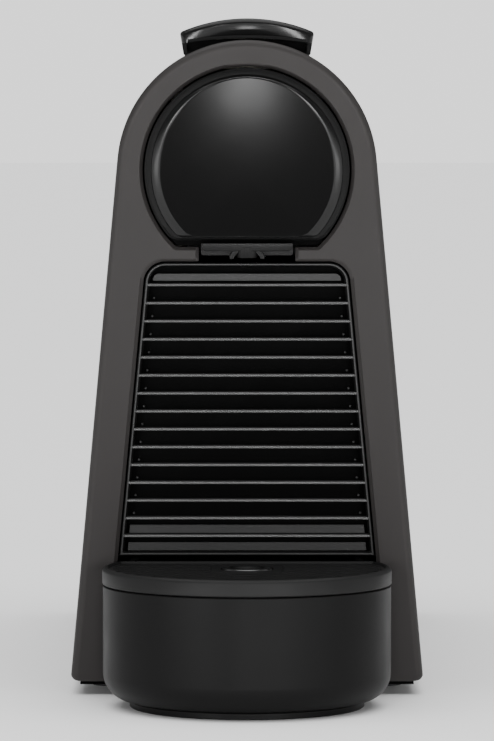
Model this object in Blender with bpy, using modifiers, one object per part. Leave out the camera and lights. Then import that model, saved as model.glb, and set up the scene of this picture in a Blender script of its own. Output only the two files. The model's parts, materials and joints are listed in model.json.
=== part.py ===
"""Pod coffee machine: an arch-shaped housing with a lever on top, a round head cover, a ribbed
used-capsule container over a round drip tray, and a water tank behind. Metres, +Z up, front at -Y,
origin under the middle of the machine on the surface that it stands on."""

import math

import bmesh
import bpy
from mathutils import Matrix, Vector

# Driving dimensions
DEPTH = 0.325  # front of the drip tray to the back of the tank and cord gland
HEIGHT = 0.2086  # to the crown of the lever
FRONT = -DEPTH / 2
BACK = DEPTH / 2
GAP = 0.0004  # running gap between neighbouring pieces

# Housing: a half-round top on sides that spread towards the foot, with a front that leans forward
DOME_RADIUS = 0.0392
DOME_Z = 0.1627
SPREAD = math.radians(5.55)
LEAN = math.radians(13.0)
FRONT_AT_FLOOR = -0.0905
WALL = 0.0022
FRAME_THICK = 0.003
SHELL_LOW = 0.0043
SHELL_BACK = 0.103
EDGE_ROUND = 0.0025

# Head
HEAD_HOLE = 0.0314
HEAD_FLAT_Z = 0.1397
COVER_RADIUS = 0.0309
COVER_FLAT_Z = 0.1416
NECK_HALF = 0.0146
NOZZLE_Y = -0.122
NOZZLE_LOW = 0.1364

# Used-capsule container and its ribbed front
BIN_TOP = 0.1353
BIN_WIDE_Z = 0.1296
BIN_HALF = 0.0313
BIN_SPREAD = 0.098
BIN_LOW = 0.0437
BIN_BACK = -0.046
BIN_CORNER = 0.0066
SLAT_COUNT = 15
SLAT_TOP_Z = 0.1281
SLAT_LOW_Z = 0.0503
SLAT_THICK = 0.0010
SLAT_PITCH = (SLAT_TOP_Z - SLAT_LOW_Z) / (SLAT_COUNT - 1)
GRILLE_RIM = 0.0022
GRILLE_FRONT = 0.0008
GRILLE_BACK = 0.0044

# Drip tray, a round basin with a tongue that runs back under the container
TRAY_RADIUS = 0.0438
TRAY_Y = FRONT + 0.0440
TRAY_FOOT_RADIUS = 0.0355
TRAY_FOOT = 0.0018
TRAY_CURVE_TOP = 0.010
TRAY_TOP = 0.0371
GRID_LOW = 0.0374
GRID_TOP = 0.0425
GRID_RADIUS = 0.0440
GRID_BACK = -0.1009
RIB_PITCH = 0.007
DISH_RADIUS = 0.0077
TONGUE_HALF = 0.0365
TONGUE_BACK = -0.040
TONGUE_LOW = 0.006
TONGUE_TOP = 0.0429
TRAY_NOTCH_HALF = 0.041
TRAY_NOTCH_Z = 0.0435
TRAY_WALL = 0.0018

# Base
BASE_LOW = 0.003
BASE_TOP = 0.0054
BASE_HALF = 0.0518
BASE_FRONT = -0.088
LEDGE_TOP = 0.016
LEDGE_FRONT = SHELL_BACK + 0.0006
LEDGE_BACK = BACK - 0.0012
LEDGE_HALF = 0.0543
FOOT_RADIUS = 0.0065
FRONT_FOOT = (0.043, -0.062)
REAR_FOOT = (0.040, 0.146)
GLAND_X = 0.038
GLAND_Z = 0.0096

# Lever, hinged near the top of the housing
HINGE_Y = -0.045
HINGE_Z = 0.184
LEVER_NOSE = -0.125
LEVER_HALF = 0.0203
LEVER_ARC = 0.052
LEVER_THICK = 0.0025
LEVER_WIDE_BACK = HINGE_Y - 0.0125
TAIL_HALF = 0.0186
DRUM_ANGLE = math.radians(36)
TAIL_ANGLE = math.radians(52)
SKIRT_LOW = 0.1979
SLOT_HALF = 0.0193
SLOT_FRONT = -0.122
SLOT_BACK = -0.0252
ARM_INNER = 0.013
ARM_OUTER = 0.016
PIVOT_RADIUS = 0.003
CRANK_RADIUS = 0.011
CRANK_ANGLE = math.radians(40)
CRANK_PIN = 0.002
CRANK_Y = HINGE_Y - CRANK_RADIUS * math.sin(CRANK_ANGLE)
CRANK_Z = HINGE_Z + CRANK_RADIUS * math.cos(CRANK_ANGLE)

# Brewing unit
BREW_Z = 0.161
PLATE_INNER = 0.0205
PLATE_OUTER = 0.023
CAGE_RADIUS = 0.019
CAGE_FRONT = -0.0975
CAGE_BACK = -0.069
HEATER_Z = 0.135
HEATER_RADIUS = 0.0196
HEATER_FRONT = -0.030
HEATER_BACK = 0.032
PUMP_Y = 0.005

# Buttons on the crown, each pressed square to the curve
BUTTON_X = 0.011
BUTTON_Y = 0.005
BUTTON_RADIUS = 0.0065
BUTTON_PROUD = 0.001
BUTTON_DEPTH = 0.005

# Water tank
TANK_FRONT = 0.105
TANK_LOW = 0.0164
TANK_TOP = 0.167
TANK_LEAN = math.radians(6)
TANK_WALL = 0.002
TANK_BACK = LEDGE_BACK
VALVE_Y = 0.132
LID_AXIS_Y = 0.1488
LID_AXIS_Z = 0.1666

COLOURS = {
    "shell_grey": ((0.063, 0.056, 0.054), 0.5, 0.0),
    "gloss_black": ((0.006, 0.006, 0.006), 0.08, 0.0),
    "satin_black": ((0.016, 0.016, 0.016), 0.4, 0.0),
    "matt_black": ((0.01, 0.01, 0.01), 0.6, 0.0),
    "rubber": ((0.012, 0.012, 0.012), 0.8, 0.0),
    "steel": ((0.55, 0.55, 0.56), 0.3, 1.0),
    "aluminium": ((0.65, 0.65, 0.66), 0.4, 1.0),
    "brass": ((0.62, 0.45, 0.2), 0.3, 1.0),
    "hose": ((0.75, 0.73, 0.7), 0.5, 0.0),
    "natural_nylon": ((0.6, 0.58, 0.52), 0.5, 0.0),
    "board_green": ((0.02, 0.12, 0.05), 0.5, 0.0),
    "coil_yellow": ((0.5, 0.33, 0.06), 0.5, 0.0),
    "smoke_clear": ((0.05, 0.05, 0.055), 0.1, 0.0),
}


# ---- the scene, its collections and its materials


def clear_scene():
    for thing in list(bpy.data.objects):
        bpy.data.objects.remove(thing, do_unlink=True)


def new_collection(name):
    made = bpy.data.collections.new(name)
    bpy.context.scene.collection.children.link(made)
    return made


def finish_of(name, node):
    colour, roughness, metallic = COLOURS[name]
    made = bpy.data.materials.new(f"{node}_{name}")
    made.use_nodes = True
    shader = made.node_tree.nodes["Principled BSDF"]
    shader.inputs["Base Color"].default_value = (*colour, 1)
    shader.inputs["Roughness"].default_value = roughness
    shader.inputs["Metallic"].default_value = metallic
    made.diffuse_color = (*colour, 1)
    return made


# ---- shapes; each returns a loose mesh object in world coordinates


def tidy(mesh):
    """Joins loose caps to their sides and turns every face outwards."""
    work = bmesh.new()
    work.from_mesh(mesh)
    bmesh.ops.remove_doubles(work, verts=work.verts, dist=1e-6)
    bmesh.ops.recalc_face_normals(work, faces=work.faces)
    work.to_mesh(mesh)
    work.free()


def as_object(name, mesh):
    made = bpy.data.objects.new(name, mesh)
    bpy.context.scene.collection.objects.link(made)
    return made


TURNS = {
    "Z": Matrix.Identity(4),
    "Y": Matrix.Rotation(math.radians(90), 4, "X"),
    "X": Matrix(((0, 0, 1, 0), (1, 0, 0, 0), (0, 1, 0, 0), (0, 0, 0, 1))),
}


def slab(name, loops, low, high, axis="Z"):
    """A flat outline, with any further loops as its holes, made thick from low to high along the
    axis. It is drawn in (x, y) for Z, (x, z) for Y and (y, z) for X."""
    curve = bpy.data.curves.new(name, "CURVE")
    curve.dimensions = "2D"
    curve.fill_mode = "BOTH"
    curve.extrude = (high - low) / 2
    for loop in loops:
        spline = curve.splines.new("POLY")
        spline.points.add(len(loop) - 1)
        for point, (across, up) in zip(spline.points, loop):
            point.co = (across, up, 0, 1)
        spline.use_cyclic_u = True
    guide = as_object(name, curve)
    graph = bpy.context.evaluated_depsgraph_get()
    mesh = bpy.data.meshes.new_from_object(guide.evaluated_get(graph))
    bpy.data.objects.remove(guide)
    bpy.data.curves.remove(curve)
    move = {"Z": (0, 0, 1), "Y": (0, 1, 0), "X": (1, 0, 0)}[axis]
    mesh.transform(Matrix.Translation(Vector(move) * (low + high) / 2) @ TURNS[axis])
    tidy(mesh)
    return as_object(name, mesh)


def box(name, low, high):
    work = bmesh.new()
    size = [b - a for a, b in zip(low, high)]
    middle = [(a + b) / 2 for a, b in zip(low, high)]
    place = Matrix.Translation(middle) @ Matrix.Diagonal((*size, 1))
    bmesh.ops.create_cube(work, size=1, matrix=place)
    mesh = bpy.data.meshes.new(name)
    work.to_mesh(mesh)
    work.free()
    return as_object(name, mesh)


def rod(name, start, end, radius, end_radius=None, sides=16):
    """A cylinder, or a cone, between two points."""
    start, end = Vector(start), Vector(end)
    along = end - start
    turn = Vector((0, 0, 1)).rotation_difference(along).to_matrix().to_4x4()
    work = bmesh.new()
    bmesh.ops.create_cone(
        work,
        cap_ends=True,
        segments=sides,
        radius1=radius,
        radius2=radius if end_radius is None else end_radius,
        depth=along.length,
        matrix=Matrix.Translation((start + end) / 2) @ turn,
    )
    mesh = bpy.data.meshes.new(name)
    work.to_mesh(mesh)
    work.free()
    return as_object(name, mesh)


def turned(name, centre, profile, sides=20, axis="Z"):
    """A profile of (radius, height) points spun round an axis through centre. The profile is a
    closed loop, or runs from the axis back to the axis, down its outer side."""
    mesh = bpy.data.meshes.new(name)
    work = bmesh.new()
    points = [work.verts.new((radius, 0, height)) for radius, height in profile]
    for first, second in zip(points, points[1:]):
        work.edges.new((first, second))
    if profile[0][0] > 0:
        work.edges.new((points[-1], points[0]))
    work.to_mesh(mesh)
    work.free()
    made = as_object(name, mesh)
    screw = made.modifiers.new("turn", "SCREW")
    screw.steps = sides
    screw.render_steps = sides
    screw.use_merge_vertices = True
    screw.merge_threshold = 1e-6
    graph = bpy.context.evaluated_depsgraph_get()
    whole = bpy.data.meshes.new_from_object(made.evaluated_get(graph))
    bpy.data.objects.remove(made)
    bpy.data.meshes.remove(mesh)
    lay = Matrix.Rotation(math.radians(90), 4, "X") if axis == "Y" else Matrix.Identity(4)
    whole.transform(Matrix.Translation(centre) @ lay)
    tidy(whole)
    return as_object(name, whole)


def hose(name, points, radius):
    """A bent tube through its points."""
    curve = bpy.data.curves.new(name, "CURVE")
    curve.dimensions = "3D"
    curve.bevel_depth = radius
    curve.bevel_resolution = 1
    curve.use_fill_caps = True
    curve.resolution_u = 4
    spline = curve.splines.new("BEZIER")
    spline.bezier_points.add(len(points) - 1)
    for point, place in zip(spline.bezier_points, points):
        point.co = place
        point.handle_left_type = "AUTO"
        point.handle_right_type = "AUTO"
    guide = as_object(name, curve)
    graph = bpy.context.evaluated_depsgraph_get()
    mesh = bpy.data.meshes.new_from_object(guide.evaluated_get(graph))
    bpy.data.objects.remove(guide)
    tidy(mesh)
    return as_object(name, mesh)


# ---- outlines


def arc(centre, radius, start, end, steps):
    turns = [start + (end - start) * step / steps for step in range(steps + 1)]
    return [(centre[0] + radius * math.cos(t), centre[1] + radius * math.sin(t)) for t in turns]


def circle(centre, radius, steps=20):
    return arc(centre, radius, 0, math.tau, steps)[:-1]


def rounded(corners, step=math.radians(24)):
    """A polygon of (x, y, radius) corners, each rounded to its radius."""
    outline = []
    for index, (x, y, radius) in enumerate(corners):
        here = Vector((x, y))
        before = Vector(corners[index - 1][:2]) - here
        after = Vector(corners[(index + 1) % len(corners)][:2]) - here
        if radius == 0:
            outline.append((x, y))
            continue
        half = before.angle(after) / 2
        middle = here + (before.normalized() + after.normalized()).normalized() * (
            radius / math.sin(half)
        )
        reach = radius / math.tan(half)
        first = here + before.normalized() * reach - middle
        last = here + after.normalized() * reach - middle
        begin = math.atan2(first.y, first.x)
        turn = (math.atan2(last.y, last.x) - begin + math.pi) % math.tau - math.pi
        steps = max(2, math.ceil(abs(turn) / step))
        outline += arc(middle, radius, begin, begin + turn, steps)
    return outline


def rectangle(low, high, radius=0.0):
    (left, bottom), (right, top) = low, high
    return rounded([(left, bottom, radius), (right, bottom, radius),
                    (right, top, radius), (left, top, radius)])


def half_width(z, inset=0.0):
    """How far the housing's side stands from its middle at a height."""
    return (DOME_RADIUS - inset) / math.cos(SPREAD) + (DOME_Z - z) * math.tan(SPREAD)


def arch(inset=0.0, low=SHELL_LOW, corner=0.002):
    """The housing's outline from the front. Its two sides meet high above at a point that is
    rounded to the dome's radius."""
    radius = DOME_RADIUS - inset
    foot = half_width(low, inset)
    peak = DOME_Z + radius / math.sin(SPREAD)
    return rounded([(-foot, low, corner), (foot, low, corner), (0, peak, radius)],
                   math.radians(9))


def cut_circle(radius, flat):
    """A circle about the dome's centre with a flat at the bottom."""
    start = math.asin((flat - DOME_Z) / radius)
    return arc((0, DOME_Z), radius, start, math.pi - start, 30)


def bin_half(z, inset=0.0):
    return BIN_HALF + (BIN_WIDE_Z - z) * BIN_SPREAD - inset


def bin_outline(inset, low, top=BIN_TOP, foot_corner=0.0):
    top = top - inset
    corner = BIN_CORNER - inset / 2
    return rounded([
        (-bin_half(low, inset), low, foot_corner),
        (bin_half(low, inset), low, foot_corner),
        (bin_half(top, inset), top, corner),
        (-bin_half(top, inset), top, corner),
    ])


# ---- placing on the leaning front, joining and cutting


def front_y(z):
    return FRONT_AT_FLOOR - z * math.tan(LEAN)


def fit_ends(thing, front, back):
    """Moves a slab's two ends along Y to front(z) and back(z)."""
    points = thing.data.vertices
    middle = sum(point.co.y for point in points) / len(points)
    for point in points:
        place = front if point.co.y < middle else back
        point.co.y = place(point.co.z)
    return thing


def leaning(name, loops, front, back):
    """A slab whose two faces lie parallel to the housing's front, these depths behind it."""
    return fit_ends(slab(name, loops, 0, 1, "Y"), lambda z: front_y(z) + front,
                    lambda z: front_y(z) + back)


def round_front(thing, width, segments=2):
    """Rounds the outline of a slab's front face."""
    work = bmesh.new()
    work.from_mesh(thing.data)
    middle = sum(point.co.y for point in work.verts) / len(work.verts)
    rim = [
        edge for edge in work.edges
        if all(end.co.y < middle for end in edge.verts)
        and edge.calc_face_angle(0) > math.radians(40)
    ]
    bmesh.ops.bevel(work, geom=rim, offset=width, segments=segments, profile=0.5,
                    affect="EDGES", clamp_overlap=True)
    work.to_mesh(thing.data)
    work.free()
    return thing


def as_cutter(thing):
    for home in list(thing.users_collection):
        home.objects.unlink(thing)
    cutters.objects.link(thing)
    thing.hide_render = True
    thing.display_type = "WIRE"


def change(thing, operation, others):
    for other in others:
        modifier = thing.modifiers.new(f"{operation.lower()} {other.name}", "BOOLEAN")
        modifier.operation = operation
        modifier.object = other
        as_cutter(other)
    return thing


def cut(thing, *others):
    return change(thing, "DIFFERENCE", others)


def join(thing, *others):
    return change(thing, "UNION", others)


def rounded_edges(thing, width, segments=2, angle=math.radians(50)):
    bevel = thing.modifiers.new("soft edges", "BEVEL")
    bevel.width = width
    bevel.segments = segments
    bevel.limit_method = "ANGLE"
    bevel.angle_limit = angle
    return thing


def keep(thing, material, parent, origin=None):
    """Puts a finished piece in the machine's collection, with its origin where it is held."""
    for home in list(thing.users_collection):
        home.objects.unlink(thing)
    machine.objects.link(thing)
    thing.data.materials.append(finish_of(material, thing.name))
    thing.data.shade_smooth()
    thing.data.set_sharp_from_angle(angle=math.radians(30))
    place = Vector(origin) if origin else parent.location.copy()
    thing.data.transform(Matrix.Translation(-place))
    thing.parent = parent
    thing.location = place - parent.location
    return thing


def new_axis(name, place=(0, 0, 0)):
    made = bpy.data.objects.new(name, None)
    made.empty_display_size = 0.02
    made.location = place
    machine.objects.link(made)
    return made


# ---- housing and head


def make_housing_shell(body):
    shell = fit_ends(slab("housing_shell", [arch()], 0, 1, "Y"), front_y, lambda z: SHELL_BACK)
    round_front(shell, EDGE_ROUND)
    for side, low, boss_z in ((-1, 0.0405, 0.020), (1, 0.0405, 0.020)):
        boss = box(f"screw_boss_{side}", (min(side * low, side * half_width(boss_z, 0.001)),
                                         0.088, boss_z - 0.004),
                   (max(side * low, side * half_width(boss_z, 0.001)), 0.0998, boss_z + 0.004))
        bosses.append(boss)
    crown_boss = box("screw_boss_top", (-0.004, 0.088, DOME_Z + DOME_RADIUS - 0.010),
                     (0.004, 0.0998, DOME_Z + DOME_RADIUS - 0.001))
    bosses.append(crown_boss)
    inside = fit_ends(slab("shell_inside", [arch(WALL, -0.02, 0)], 0, 1, "Y"),
                      lambda z: front_y(z) + FRAME_THICK, lambda z: SHELL_BACK + 0.01)
    cut(shell, inside)
    join(shell, *bosses)
    cut(
        shell,
        leaning("head_hole", [cut_circle(HEAD_HOLE, HEAD_FLAT_Z)], -0.01, 0.02),
        leaning("neck_hole", [rectangle((-NECK_HALF, BIN_TOP - 0.008),
                                        (NECK_HALF, HEAD_FLAT_Z + 0.004))], -0.01, 0.02),
        leaning("bin_hole", [bin_outline(0, 0.03)], -0.01, 0.02),
        leaning("tray_hole", [rectangle((-TRAY_NOTCH_HALF, -0.02),
                                        (TRAY_NOTCH_HALF, TRAY_NOTCH_Z))], -0.01, 0.02),
        box("lever_slot", (-SLOT_HALF, SLOT_FRONT, HINGE_Z - 0.004),
            (SLOT_HALF, SLOT_BACK, HEIGHT)),
        *[button_rod(f"button_hole_{side}", side, -0.02, 0.01, BUTTON_RADIUS + GAP)
          for side in (-1, 1)],
        *[rod(f"screw_hole_{index}", (x, 0.086, z), (x, 0.102, z), 0.0018, sides=8)
          for index, (x, z) in enumerate(SCREW_PLACES)],
    )
    keep(shell, "shell_grey", body)


def make_head_cover(body):
    cover = leaning("head_cover", [cut_circle(COVER_RADIUS, COVER_FLAT_Z)], -0.0022, 0.0012)
    round_front(cover, 0.0022)
    keep(cover, "gloss_black", body, (0, front_y(DOME_Z), DOME_Z))


def make_head_bezel(body):
    bezel = leaning("head_bezel", [cut_circle(HEAD_HOLE - GAP, HEAD_FLAT_Z + GAP)], 0.0016, 0.006)
    keep(bezel, "matt_black", body, (0, front_y(DOME_Z), DOME_Z))


def make_coffee_outlet(body):
    """The lip under the cover, the nozzle that coffee leaves by and the duct that feeds it."""
    low, high = 0.1372, HEAD_FLAT_Z
    outlet = leaning("coffee_outlet", [rectangle((-0.0139, low), (0.0139, high), 0.0008)],
                     -0.0026, 0.016)
    nozzle = rod("nozzle", (0, NOZZLE_Y, NOZZLE_LOW), (0, NOZZLE_Y, high - 0.0004),
                 0.0040, 0.0051, 16)
    duct = box("duct", (-0.005, -0.112, low + 0.0004), (0.005, -0.1046, BREW_Z - 0.010))
    join(outlet, nozzle, duct)
    cut(outlet, rod("nozzle_bore", (0, NOZZLE_Y, NOZZLE_LOW - 0.002),
                    (0, NOZZLE_Y, high - 0.0012), 0.0018, sides=8))
    keep(outlet, "satin_black", body, (0, NOZZLE_Y, NOZZLE_LOW))


# ---- base, bulkhead and feet

SCREW_PLACES = ((-0.0445, 0.020), (0.0445, 0.020), (0.0, DOME_Z + DOME_RADIUS - 0.0062))


def make_base_plate(body):
    base = slab("base_plate", [rectangle((-BASE_HALF, BASE_FRONT), (BASE_HALF, LEDGE_BACK - 0.001))],
                BASE_LOW, BASE_TOP)
    ledge = slab("ledge", [rectangle((-LEDGE_HALF, LEDGE_FRONT), (LEDGE_HALF, LEDGE_BACK), 0.004)],
                 BASE_LOW, LEDGE_TOP)
    hollow = box("ledge_hollow", (-BASE_HALF, LEDGE_FRONT - 0.01, BASE_TOP),
                 (BASE_HALF, LEDGE_BACK - 0.0025, LEDGE_TOP - 0.0022))
    join(base, ledge)
    cut(
        base,
        hollow,
        rod("tray_notch", (0, TRAY_Y, -0.01), (0, TRAY_Y, 0.02), TRAY_RADIUS + 0.0008, sides=40),
        rod("socket_hole", (0, VALVE_Y, LEDGE_TOP - 0.006), (0, VALVE_Y, LEDGE_TOP + 0.004),
            0.0100),
        rod("gland_hole", (GLAND_X, LEDGE_BACK - 0.006, GLAND_Z), (GLAND_X, BACK, GLAND_Z),
            0.0036, sides=16),
    )
    keep(base, "matt_black", body)


def make_rear_bulkhead(body):
    """The wall that closes the housing behind and keeps the tank's water out of it."""
    low = 0.0170
    wall = slab("rear_bulkhead", [arch(WALL + GAP, low, 0.001)], 0.1002, 0.1027, "Y")
    cut(wall, *[rod(f"bulkhead_hole_{index}", (x, 0.099, z), (x, 0.104, z), 0.0018, sides=8)
                for index, (x, z) in enumerate(SCREW_PLACES)])
    keep(wall, "matt_black", body)


def make_bulkhead_screws(body):
    for index, (x, z) in enumerate(SCREW_PLACES):
        profile = [(0, 0.0016), (0.0029, 0.0010), (0.0029, 0), (0.0015, 0), (0.0015, -0.0125),
                   (0, -0.0125)]
        screw = turned(f"bulkhead_screw_{index + 1}", (0, 0, 0), profile, 8)
        face = Matrix.Rotation(math.radians(-90), 4, "X")
        screw.data.transform(Matrix.Translation((x, 0.1030, z)) @ face)
        keep(screw, "steel", body, (x, 0.1030, z))


def make_feet(body):
    for name, (x, y) in (("front", FRONT_FOOT), ("rear", REAR_FOOT)):
        for side, across in (("left", -x), ("right", x)):
            foot = rod(f"foot_{name}_{side}", (across, y, 0), (across, y, BASE_LOW - 0.0003),
                       FOOT_RADIUS - 0.0006, FOOT_RADIUS)
            keep(foot, "rubber", body, (across, y, 0))


def make_cord_gland(body):
    """The empty bushing that a mains lead would leave by."""
    profile = [(0.0033, 0.0050), (0.0033, 0), (0.0040, 0), (0.0044, -0.0009), (0.0024, -0.0009),
               (0.0020, 0.0050)]
    gland = turned("cord_gland", (0, 0, 0), list(reversed(profile)), 16, "Z")
    gland.data.transform(Matrix.Translation((GLAND_X, LEDGE_BACK + 0.0003, GLAND_Z))
                         @ Matrix.Rotation(math.radians(90), 4, "X"))
    keep(gland, "rubber", body, (GLAND_X, LEDGE_BACK, GLAND_Z))


# ---- brewing unit


def make_brew_frame(body):
    """Two side plates stand on the base and carry the lever, the heater and the head."""
    for name, side in (("left", -1), ("right", 1)):
        outline = rounded([
            (-0.112, 0.1405, 0.003), (-0.036, 0.1405, 0.004), (-0.036, BASE_TOP + 0.0003, 0),
            (0.045, BASE_TOP + 0.0003, 0), (0.045, 0.184, 0.006), (-0.040, 0.1905, 0.006),
            (-0.112, 0.1865, 0.006)])
        low, high = sorted((side * PLATE_INNER, side * PLATE_OUTER))
        plate = slab(f"brew_frame_{name}", [outline], low, high, "X")
        window = slab(f"frame_window_{name}", [rectangle((-0.024, 0.020), (0.033, 0.100), 0.006)],
                      low - 0.002, high + 0.002, "X")
        bore = rod(f"pivot_bore_{name}", (low - 0.002, HINGE_Y, HINGE_Z),
                   (high + 0.002, HINGE_Y, HINGE_Z), PIVOT_RADIUS + 0.0003)
        cut(plate, window, bore)
        keep(plate, "natural_nylon", body, (side * PLATE_INNER, HINGE_Y, HINGE_Z))


def make_piercing_plate(body):
    plate = rod("piercing_plate", (0, -0.104, BREW_Z), (0, -0.0981, BREW_Z), 0.0200, sides=28)
    keep(plate, "steel", body, (0, -0.104, BREW_Z))


def make_capsule_funnel(body):
    low, high = BREW_Z + 0.0215, 0.1935
    wide = rectangle((-0.0196, -0.1145), (0.0196, -0.0745), 0.006)
    hole = rectangle((-0.0180, -0.1130), (0.0180, -0.0760), 0.005)
    funnel = slab("capsule_funnel", [wide, hole], low, high)
    keep(funnel, "satin_black", body, (0, -0.0945, low))


def make_injector_block(body):
    """The fixed socket that the sliding water tube runs in."""
    block = slab("injector_block", [rectangle((-0.008, BREW_Z - 0.005), (0.008, BREW_Z + 0.005),
                                              0.002)], -0.033, -0.012, "Y")
    bore = rod("injector_bore", (0, -0.040, BREW_Z), (0, -0.0135, BREW_Z), 0.0028, sides=12)
    keep(cut(block, bore), "natural_nylon", body, (0, -0.033, BREW_Z))


def make_thermoblock(body):
    """The heater: a ribbed aluminium barrel."""
    core, rib, ribs = HEATER_RADIUS - 0.0022, HEATER_RADIUS, 4
    length = HEATER_BACK - HEATER_FRONT
    pitch = length / (2 * ribs - 1)
    profile = [(0, 0)]
    for index in range(2 * ribs - 1):
        radius = rib if index % 2 == 0 else core
        profile += [(radius, index * pitch), (radius, (index + 1) * pitch)]
    profile.append((0, length))
    block = turned("thermoblock", (0, HEATER_BACK, HEATER_Z), list(reversed(profile)), 24, "Y")
    keep(block, "aluminium", body, (0, HEATER_FRONT, HEATER_Z))


def make_heater_bracket(body):
    bracket = slab("heater_bracket", [rectangle((-0.0201, 0.116), (0.0201, 0.156), 0.003),
                                      circle((0, HEATER_Z), 0.0065, 16)],
                   HEATER_BACK + 0.0004, HEATER_BACK + 0.0024, "Y")
    keep(bracket, "steel", body, (0, HEATER_BACK, HEATER_Z))


def make_thermostat(body):
    place = (0.0, HEATER_BACK + 0.0004, HEATER_Z)
    cap = turned("thermostat", (place[0], place[1] + 0.0080, place[2]),
                 [(0, 0.0080), (0.0055, 0.0080), (0.0055, 0.0035), (0.0040, 0.0035),
                  (0.0040, 0), (0, 0)], 16, "Y")
    keep(cap, "steel", body, place)


def make_pump(body):
    low, high = 0.0200, 0.0960
    coil_low, coil_high = 0.038, 0.076
    coil = slab("pump_coil", [rectangle((-0.017, PUMP_Y - 0.018), (0.017, PUMP_Y + 0.018), 0.003),
                              circle((0, PUMP_Y), 0.0083, 16)], coil_low, coil_high)
    keep(coil, "coil_yellow", body, (0, PUMP_Y, coil_low))
    tube = turned("pump_core_tube", (0, PUMP_Y, 0), [
        (0.0079, high - 0.010), (0.0079, low + 0.010), (0.0050, low + 0.008), (0.0050, low),
        (0.0022, low), (0.0022, low + 0.012), (0.0046, low + 0.014), (0.0046, high - 0.014),
        (0.0022, high - 0.012), (0.0022, high), (0.0050, high), (0.0050, high - 0.008)], 16)
    keep(tube, "natural_nylon", body, (0, PUMP_Y, low))
    for name, bottom in (("lower", 0.028), ("upper", 0.080)):
        collar = slab(f"pump_damper_{name}", [circle((0, PUMP_Y), 0.0145, 20),
                                              circle((0, PUMP_Y), 0.0083, 16)],
                      bottom, bottom + 0.006)
        keep(collar, "rubber", body, (0, PUMP_Y, bottom))


def make_pump_piston(body):
    piston = rod("pump_piston", (0, PUMP_Y, 0.042), (0, PUMP_Y, 0.072), 0.0042, sides=12)
    keep(piston, "steel", body, (0, PUMP_Y, 0.057))


def make_flow_meter(body):
    meter = turned("flow_meter", (0, 0.076, 0.006), [
        (0, 0.0150), (0.0040, 0.0150), (0.0040, 0.0120), (0.0120, 0.0120), (0.0120, 0),
        (0, 0)], 20)
    nipple = rod("flow_meter_inlet", (0, 0.0860, 0.011), (0, 0.0925, 0.011), 0.0022, sides=8)
    keep(join(meter, nipple), "natural_nylon", body, (0, 0.076, 0.006))


def make_hoses(body):
    routes = {
        "hose_tank_to_meter": [(0, 0.1142, 0.0110), (0, 0.104, 0.0110), (0, 0.0929, 0.0110)],
        "hose_meter_to_pump": [(0, 0.076, 0.0214), (0, 0.076, 0.0260), (0, 0.058, 0.0300),
                               (0, 0.036, 0.0180), (0, 0.014, 0.0092), (0, PUMP_Y, 0.0140),
                               (0, PUMP_Y, 0.0197)],
        "hose_pump_to_heater": [(0, PUMP_Y, 0.0963), (0, PUMP_Y, 0.1010), (0, 0.024, 0.1070),
                                (0.004, 0.052, 0.112), (0.012, 0.054, 0.124),
                                (0.014, 0.044, 0.1345), (0.0130, HEATER_BACK + 0.0030, 0.1350)],
        "hose_heater_to_head": [(-0.0100, HEATER_BACK + 0.0030, 0.1430), (-0.0100, 0.046, 0.1440),
                                (-0.0080, 0.052, 0.1560), (-0.0040, 0.038, 0.1640),
                                (0, 0.010, BREW_Z + 0.001), (0, -0.0116, BREW_Z)],
    }
    for name, points in routes.items():
        keep(hose(name, points, 0.0024), "hose", body, points[0])


# ---- electrics


def make_boards(body):
    board = box("control_board", (0.0380, -0.010, 0.020), (0.0396, 0.080, 0.092))
    keep(board, "board_green", body, (0.0388, 0.035, 0.020))
    blocks = {
        "board_transformer": ((0.0240, 0.044, 0.030), (0.0377, 0.064, 0.052), "coil_yellow"),
        "board_relay": ((0.0270, 0.010, 0.034), (0.0377, 0.026, 0.047), "matt_black"),
    }
    for name, (low, high, material) in blocks.items():
        keep(rounded_edges(box(name, low, high), 0.0006, 1), material, body, low)
    can = rod("board_capacitor", (0.0377, 0.030, 0.074), (0.0250, 0.030, 0.074), 0.0055, sides=16)
    keep(can, "satin_black", body, (0.0377, 0.030, 0.074))


def make_mains_terminal(body):
    block = rounded_edges(box("mains_terminal", (-0.046, 0.066, BASE_TOP + 0.0003),
                              (-0.030, 0.084, 0.018)), 0.0008, 1)
    keep(block, "natural_nylon", body, (-0.038, 0.075, BASE_TOP))


def button_rod(name, side, deep, proud, radius, sides=20):
    """A cylinder square to the dome at a button's place, from below its surface to above it."""
    lean = math.asin(BUTTON_X / DOME_RADIUS)
    out = Vector((side * math.sin(lean), 0, math.cos(lean)))
    foot = Vector((0, BUTTON_Y, DOME_Z)) + out * DOME_RADIUS
    return rod(name, foot + out * deep, foot + out * proud, radius, sides=sides)


def make_button_board(body):
    board = box("button_board", (-0.0200, -0.005, 0.1880), (0.0200, 0.015, 0.1895))
    keep(board, "board_green", body, (0, BUTTON_Y, 0.1880))
    for name, side in (("small", -1), ("large", 1)):
        switch = button_rod(f"switch_{name}_cup", side, -0.0098, -0.0066, 0.0030, 8)
        keep(switch, "matt_black", body)


def make_button(name, side, body):
    cap = button_rod(name, side, -BUTTON_DEPTH, BUTTON_PROUD, BUTTON_RADIUS)
    rounded_edges(cap, 0.0006)
    keep(cap, "satin_black", body)


# ---- lever and the sliding cage


def lever_arc(half, drop=0.0, steps=8):
    """The crown of the lever's cross-section, from right to left."""
    radius = LEVER_ARC - drop
    centre = HEIGHT - LEVER_ARC
    lean = math.asin(half / radius)
    return arc((0, centre), radius, math.pi / 2 - lean, math.pi / 2 + lean, steps)


def lever_strip(half):
    """A curved strip as thick as the lever's top."""
    return lever_arc(half) + list(reversed(lever_arc(half, LEVER_THICK)))


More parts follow.
